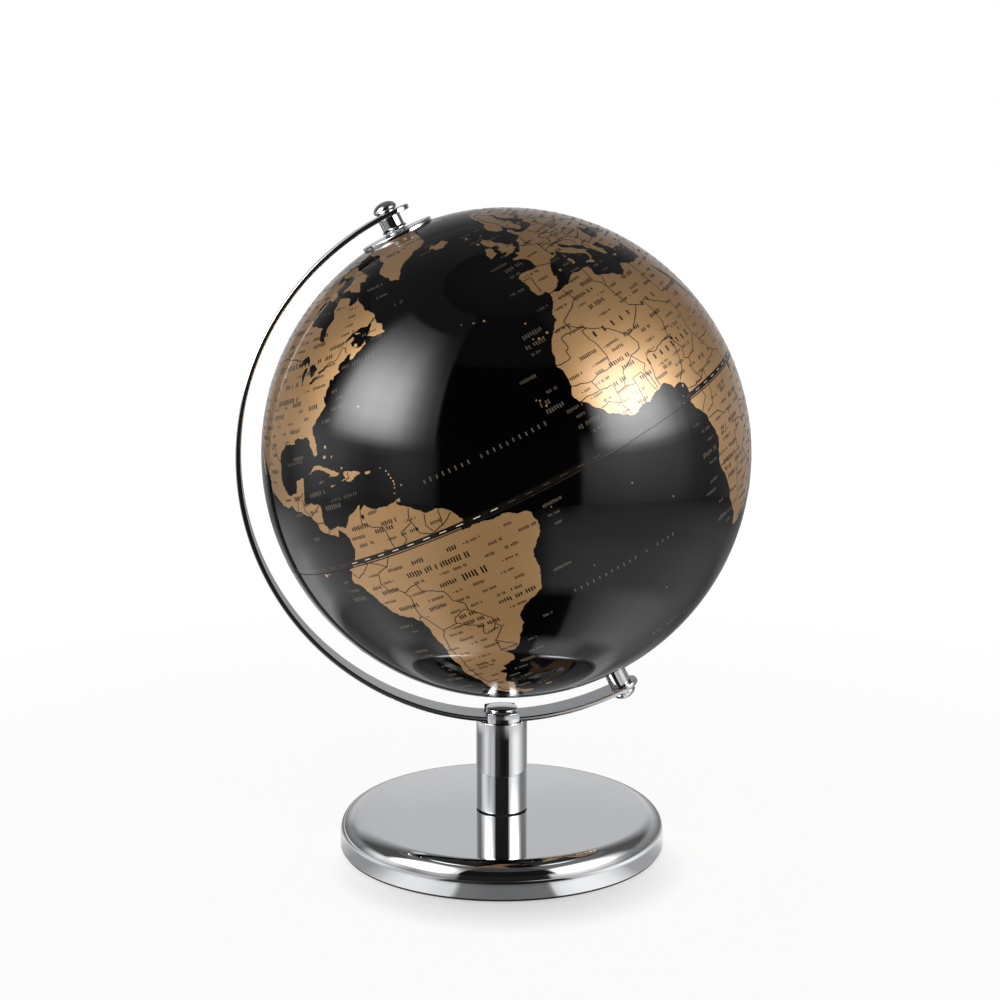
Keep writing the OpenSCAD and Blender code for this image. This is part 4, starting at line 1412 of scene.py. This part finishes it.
# ================================================================ studio
STUDIO_RADIUS = 0.7
STUDIO_HEIGHT = 2.0
STUDIO_GROUND = -0.4 * MM
STUDIO_SIDES = 96
LEFT_BOX_LEVEL = 10.3
RIGHT_BOX_LEVEL = 10.2
FLAG_HEIGHT = 0.62
FLAG_SIDES = 64
FLOOR_HALF = 6.0
FLOOR_HEIGHT = -0.2 * MM
# painted shade on the floor: its glow dims near the base, round a centre a little in front of it, for the
# base's shadow and faint reflection
SHADE_CENTRE = (0, -25 * MM, 0)
SHADE_INNER = 44 * MM
SHADE_OUTER = 76 * MM
SHADE_LEVEL = 0.5
FLOOR_LEVEL = 0.83

# ---------------------------------------------------------------- camera, with angles in degrees
CAMERA_TARGET = Vector((0, 0, 150 * MM))
CAMERA_TURN = -6.445
CAMERA_DROP = 9.546
CAMERA_DISTANCE = 765.7 * MM
SENSOR_WIDTH = 36
FOCAL_LENGTH = 65.74
LENS_SHIFT = (-0.0017, -0.0006)
CLIP = (0.01, 50)


class Glow:
    """An emission material whose brightness is a formula of place in the studio.

    Azimuth is in degrees from the front, positive to the right. Height and radius are in metres.
    """

    def __init__(self, name):
        self.material = bpy.data.materials.new(name)
        self.material.use_nodes = True
        self.nodes = self.material.node_tree.nodes
        self.links = self.material.node_tree.links
        self.nodes.clear()
        place = self.nodes.new("ShaderNodeTexCoord").outputs["Object"]
        split = self.nodes.new("ShaderNodeSeparateXYZ")
        self.links.new(place, split.inputs[0])
        x, y, self.height = split.outputs
        turn = self.math("ARCTAN2", x, self.math("MULTIPLY", y, -1.0))
        self.azimuth = self.math("MULTIPLY", turn, 180 / math.pi)
        squared = self.math("ADD", self.math("MULTIPLY", x, x), self.math("MULTIPLY", y, y))
        self.radius = self.math("SQRT", squared)

    def math(self, operation, first, second=None):
        """One step of arithmetic on numbers or on the outputs of other steps."""
        node = self.nodes.new("ShaderNodeMath")
        node.operation = operation
        for socket, value in zip(node.inputs, (first, second)):
            if isinstance(value, (int, float)):
                socket.default_value = value
            elif value is not None:
                self.links.new(value, socket)
        return node.outputs[0]

    def curve(self, value, stops):
        """Straight lines through (value, brightness) stops, held level outside them."""
        low = stops[0][0]
        span = stops[-1][0] - low
        scaled = self.math("MULTIPLY", self.math("SUBTRACT", value, low), 1 / span)
        node = self.nodes.new("ShaderNodeValToRGB")
        node.color_ramp.interpolation = "LINEAR"
        elements = node.color_ramp.elements
        while len(elements) < len(stops):
            elements.new(0.5)
        for element, (at, level) in zip(elements, stops):
            element.position = (at - low) / span
            element.color = (level, level, level, 1)
        self.links.new(scaled, node.inputs[0])
        return node.outputs["Color"]

    def all_of(self, operation, values):
        """The same arithmetic step from each value to the next."""
        total = values[0]
        for value in values[1:]:
            total = self.math(operation, total, value)
        return total

    def product(self, *values):
        """All values multiplied."""
        return self.all_of("MULTIPLY", values)

    def total(self, *values):
        """All values added up."""
        return self.all_of("ADD", values)

    def finish(self, strength):
        """The material, shining with the given strength."""
        glow = self.nodes.new("ShaderNodeEmission")
        self.links.new(strength, glow.inputs["Strength"])
        output = self.nodes.new("ShaderNodeOutputMaterial")
        self.links.new(glow.outputs[0], output.inputs["Surface"])
        return self.material


def wall_glow():
    """Two soft boxes beside a dark front opening, over a grey band at table height."""
    glow = Glow("studio_wall")
    az = glow.azimuth
    up = glow.height
    left_across = glow.curve(az, [
        (-97, 0), (-93, 0.06), (-90, 0.2), (-86, 0.55), (-80, 0.8), (-72, 1), (-60, 0.97), (-54, 0.72),
        (-50, 0.44), (-45, 0.2), (-40, 0.08), (-37, 0.06), (-36, 0),
    ])
    left_up = glow.curve(up, [
        (0.21, 0), (0.25, 0.03), (0.28, 0.22), (0.3, 0.44), (0.34, 0.72), (0.4, 0.98), (0.5, 1.03),
        (0.6, 0.9), (0.7, 0.64), (0.8, 0.42), (0.9, 0.25), (1.0, 0.145), (1.1, 0.085), (1.2, 0.05),
        (1.25, 0),
    ])
    right_across = glow.curve(az, [
        (30, 0), (33, 0.2), (40, 0.8), (46, 1), (52, 1.05), (60, 0.96), (68, 0.62), (74, 0.3), (82, 0.1),
        (92, 0.03), (100, 0),
    ])
    right_up = glow.curve(up, [
        (0.19, 0), (0.23, 0.02), (0.26, 0.16), (0.28, 0.42), (0.31, 0.74), (0.4, 1.04), (0.52, 0.96),
        (0.65, 0.6), (0.76, 0.2), (0.85, 0.05), (1.0, 0),
    ])
    low_across = glow.curve(az, [
        (-180, 0.62), (-160, 0.45), (-148, 0.2), (-116, 0.15), (-108, 0.5), (-97, 0.95), (-82, 0.85),
        (-74, 0.5), (-66, 0.28), (-52, 0.5), (-45, 0.45), (-38, 0.24), (-35.5, 0.2), (-34.5, 0.01),
        (20, 0.008), (24.5, 0.03), (26, 0.7), (34, 0.9), (46, 1.1), (58, 0.95), (72, 0.7), (82, 0.28),
        (92, 0.14), (120, 0.2), (140, 0.35), (160, 0.6), (180, 0.62),
    ])
    low_up = glow.curve(up, [(0.0, 0.4), (0.1, 0.72), (0.2, 1), (0.26, 0.8), (0.36, 0.0)])
    back_across = glow.curve(glow.math("ABSOLUTE", az), [(128, 0), (150, 0.7), (160, 1)])
    back_up = glow.curve(up, [(0.26, 0), (0.36, 0.46), (0.5, 0.3), (0.8, 0.1), (1.1, 0.03)])
    plain_across = glow.curve(az, [
        (-180, 0.07), (-100, 0.08), (-37, 0.09), (-36, 0.008), (28, 0.008), (29, 0.06), (60, 0.12),
        (92, 0.1), (180, 0.07),
    ])
    over_front = glow.curve(up, [(0.84, 0), (0.87, 0.05), (1.3, 0.05)])
    return glow.finish(glow.total(
        glow.product(left_across, left_up, LEFT_BOX_LEVEL),
        glow.product(right_across, right_up, RIGHT_BOX_LEVEL),
        glow.product(low_across, low_up),
        glow.product(back_across, back_up),
        plain_across,
        over_front,
    ))


def ground_glow():
    """The table as reflections see it: light beside the stand and black in front of it."""
    glow = Glow("studio_ground")
    az = glow.azimuth
    beside_base = glow.curve(az, [
        (-180, 0.6), (-110, 0.75), (-100, 0.75), (-93, 0.58), (-87, 0.45), (-80, 0.33), (-67, 0.33),
        (-60, 0.5), (-53, 0.78), (-46, 0.95), (-39, 0.95), (-32, 0.85), (-24.5, 0.75), (-23.5, 0.21),
        (-11, 0.16), (-4, 0.16), (12.5, 0.18), (13.5, 0.75), (17, 0.95), (25, 1.05), (32, 1.05),
        (39, 0.95), (46, 0.7), (52, 0.4), (66, 0.38), (76, 0.5), (86, 0.85), (110, 0.7), (180, 0.6),
    ])
    near = glow.curve(az, [
        (-180, 0.5), (-161, 0.4), (-135, 0.2), (-116, 0.18), (-104, 0.35), (-93, 0.52), (-82, 0.8),
        (-72, 0.82), (-60, 0.52), (-54, 0.52), (-45, 0.6), (-38, 0.42), (-35.5, 0.36), (-34.5, 0.04),
        (-20, 0.03), (-8, 0.01), (14, 0.01), (24.5, 0.03), (26, 0.4), (37, 0.7), (45, 0.95), (54, 1.08),
        (66, 1.06), (74, 0.9), (82, 0.76), (99, 0.4), (120, 0.21), (135, 0.3), (150, 0.45), (180, 0.5),
    ])
    middle = glow.curve(az, [
        (-180, 0.5), (-150, 0.6), (-135, 0.7), (-120, 1.12), (-105, 0.8), (-90, 0.7), (-75, 0.62),
        (-60, 0.55), (-45, 0.4), (-36, 0.3), (-32, 0.08), (-15, 0.04), (0, 0.06), (8, 0.2), (14, 0.5),
        (22, 0.6), (30, 0.67), (45, 0.66), (75, 0.6), (90, 0.5), (105, 0.33), (120, 0.16), (135, 0.15),
        (150, 0.3), (180, 0.5),
    ])
    far = glow.curve(az, [
        (-180, 0.45), (-150, 0.4), (-135, 0.6), (-120, 0.68), (-105, 0.55), (-90, 0.5), (-75, 0.45),
        (-60, 0.4), (-45, 0.35), (-36, 0.3), (-34, 0.03), (4, 0.03), (14, 0.45), (30, 0.5), (38, 0.5),
        (75, 0.47), (90, 0.42), (105, 0.3), (120, 0.2), (150, 0.25), (180, 0.45),
    ])
    at_wall = glow.curve(az, [
        (-180, 0.25), (-148, 0.1), (-108, 0.2), (-97, 0.35), (-74, 0.22), (-52, 0.2), (-38, 0.1),
        (-34.5, 0.01), (20, 0.01), (26, 0.28), (46, 0.42), (72, 0.28), (92, 0.1), (120, 0.08),
        (160, 0.25), (180, 0.25),
    ])
    strength = beside_base
    zones = ((0.085, 0.10, near), (0.17, 0.2, middle), (0.3, 0.38, far), (0.42, 0.7, at_wall))
    for start, end, level in zones:
        share = glow.curve(glow.radius, [(start, 0), (end, 1)])
        rest = glow.math("SUBTRACT", 1.0, share)
        strength = glow.total(glow.product(strength, rest), glow.product(level, share))
    return glow.finish(strength)


def ceiling_glow():
    """A dim grey ceiling."""
    glow = Glow("studio_ceiling")
    return glow.finish(glow.curve(glow.radius, [(0.0, 0.12), (0.35, 0.1), (0.7, 0.07)]))


def drum(sides, low, high):
    """The points and wall faces of a drum as wide as the studio: first its lower rim, then its upper."""
    rim = polygon(STUDIO_RADIUS, sides)
    vertices = [(x, y, z) for z in (low, high) for x, y in rim]
    faces = [(k, (k + 1) % sides, sides + (k + 1) % sides, sides + k) for k in range(sides)]
    return vertices, faces


def studio_panel(name, vertices, faces, material, unseen_by):
    """A part of the studio, left out for some kinds of ray."""
    mesh = plain_mesh(name, vertices, faces)
    mesh.materials.append(material)
    panel = linked(name, mesh)
    for kind in (unseen_by, "camera", "transmission", "volume_scatter", "shadow"):
        setattr(panel, "visible_" + kind, False)


def studio_surround():
    """A drum round the object, which only reflections see."""
    wall, wall_faces = drum(STUDIO_SIDES, STUDIO_GROUND, STUDIO_HEIGHT)
    ground = wall[:STUDIO_SIDES]
    ceiling = wall[STUDIO_SIDES:]
    disc = [tuple(range(STUDIO_SIDES))]
    studio_panel("studio_wall", wall, wall_faces, wall_glow(), "diffuse")
    studio_panel("studio_ground", ground, disc, ground_glow(), "diffuse")
    studio_panel("studio_ceiling", ceiling, disc, ceiling_glow(), "diffuse")


def ceiling_flag():
    """A dark hood over the table, which keeps the plain white light off the top of the ball."""
    vertices, faces = drum(FLAG_SIDES, FLAG_HEIGHT, STUDIO_HEIGHT)
    faces.append(tuple(range(FLAG_SIDES, 2 * FLAG_SIDES)))
    cloth = Shader("flag_cloth", (0.05, 0.05, 0.05), roughness=0.9).material
    studio_panel("ceiling_flag", vertices, faces, cloth, "glossy")


def studio_world():
    """Even white light all round, which is also the background. Reflections don't see it."""
    world = bpy.data.worlds.new("studio")
    bpy.context.scene.world = world
    world.use_nodes = True
    background = world.node_tree.nodes["Background"]
    background.inputs["Color"].default_value = (1, 1, 1, 1)
    background.inputs["Strength"].default_value = 1.0
    world.cycles_visibility.glossy = False


def floor_piece():
    """A wide pale floor, nearly white, with a painted soft shade round the base. Only the camera sees it.
    """
    work = bmesh.new()
    bmesh.ops.create_grid(work, x_segments=8, y_segments=8, size=FLOOR_HALF)
    mesh = bpy.data.meshes.new("floor")
    work.to_mesh(mesh)
    work.free()
    floor = linked("floor", mesh)
    floor.location = (0, 0, FLOOR_HEIGHT)
    shader = Shader("floor_paint", (0.30, 0.30, 0.30), roughness=0.9)
    shader.surface.inputs["Specular IOR Level"].default_value = 0.0
    shader.surface.inputs["Emission Color"].default_value = (1, 1, 1, 1)
    distance = shader.nodes.new("ShaderNodeVectorMath")
    distance.operation = "DISTANCE"
    shader.links.new(shader.place, distance.inputs[0])
    distance.inputs[1].default_value = SHADE_CENTRE
    away = distance.outputs["Value"]
    # painted shade: the floor's glow is dimmer near the base
    strength = shader.spread(away, SHADE_INNER, SHADE_OUTER, SHADE_LEVEL, FLOOR_LEVEL)
    shader.drive("Emission Strength", strength)
    mesh.materials.append(shader.material)
    floor.visible_glossy = False
    floor.visible_diffuse = False


def camera_setup():
    """The camera stands a little to the left of the front and looks slightly down."""
    turn = math.radians(CAMERA_TURN)
    drop = math.radians(CAMERA_DROP)
    offset = Vector((math.sin(turn) * math.cos(drop), -math.cos(turn) * math.cos(drop), math.sin(drop)))
    data = bpy.data.cameras.new("camera")
    camera = linked("camera", data)
    camera.location = CAMERA_TARGET + offset * CAMERA_DISTANCE
    camera.rotation_euler = (-offset).to_track_quat("-Z", "Y").to_euler()
    data.sensor_width = SENSOR_WIDTH
    data.lens = FOCAL_LENGTH
    data.shift_x, data.shift_y = LENS_SHIFT
    data.clip_start, data.clip_end = CLIP
    bpy.context.scene.camera = camera


# ================================================================ build
base_pieces()
column_piece()
neck_pieces()
cap_piece()
arm_piece()
pivot_pieces("north", NORTH, SEAT_INNER - ARM_SHIFT, ARM_RADIUS - ARM_SHIFT)
pivot_pieces("south", SOUTH, SEAT_INNER + ARM_SHIFT, ARM_RADIUS + ARM_SHIFT)
flange_piece()
ocean_pieces()
map_pieces()
studio_world()
studio_surround()
ceiling_flag()
floor_piece()
camera_setup()
bpy.context.scene.view_settings.view_transform = "Standard"
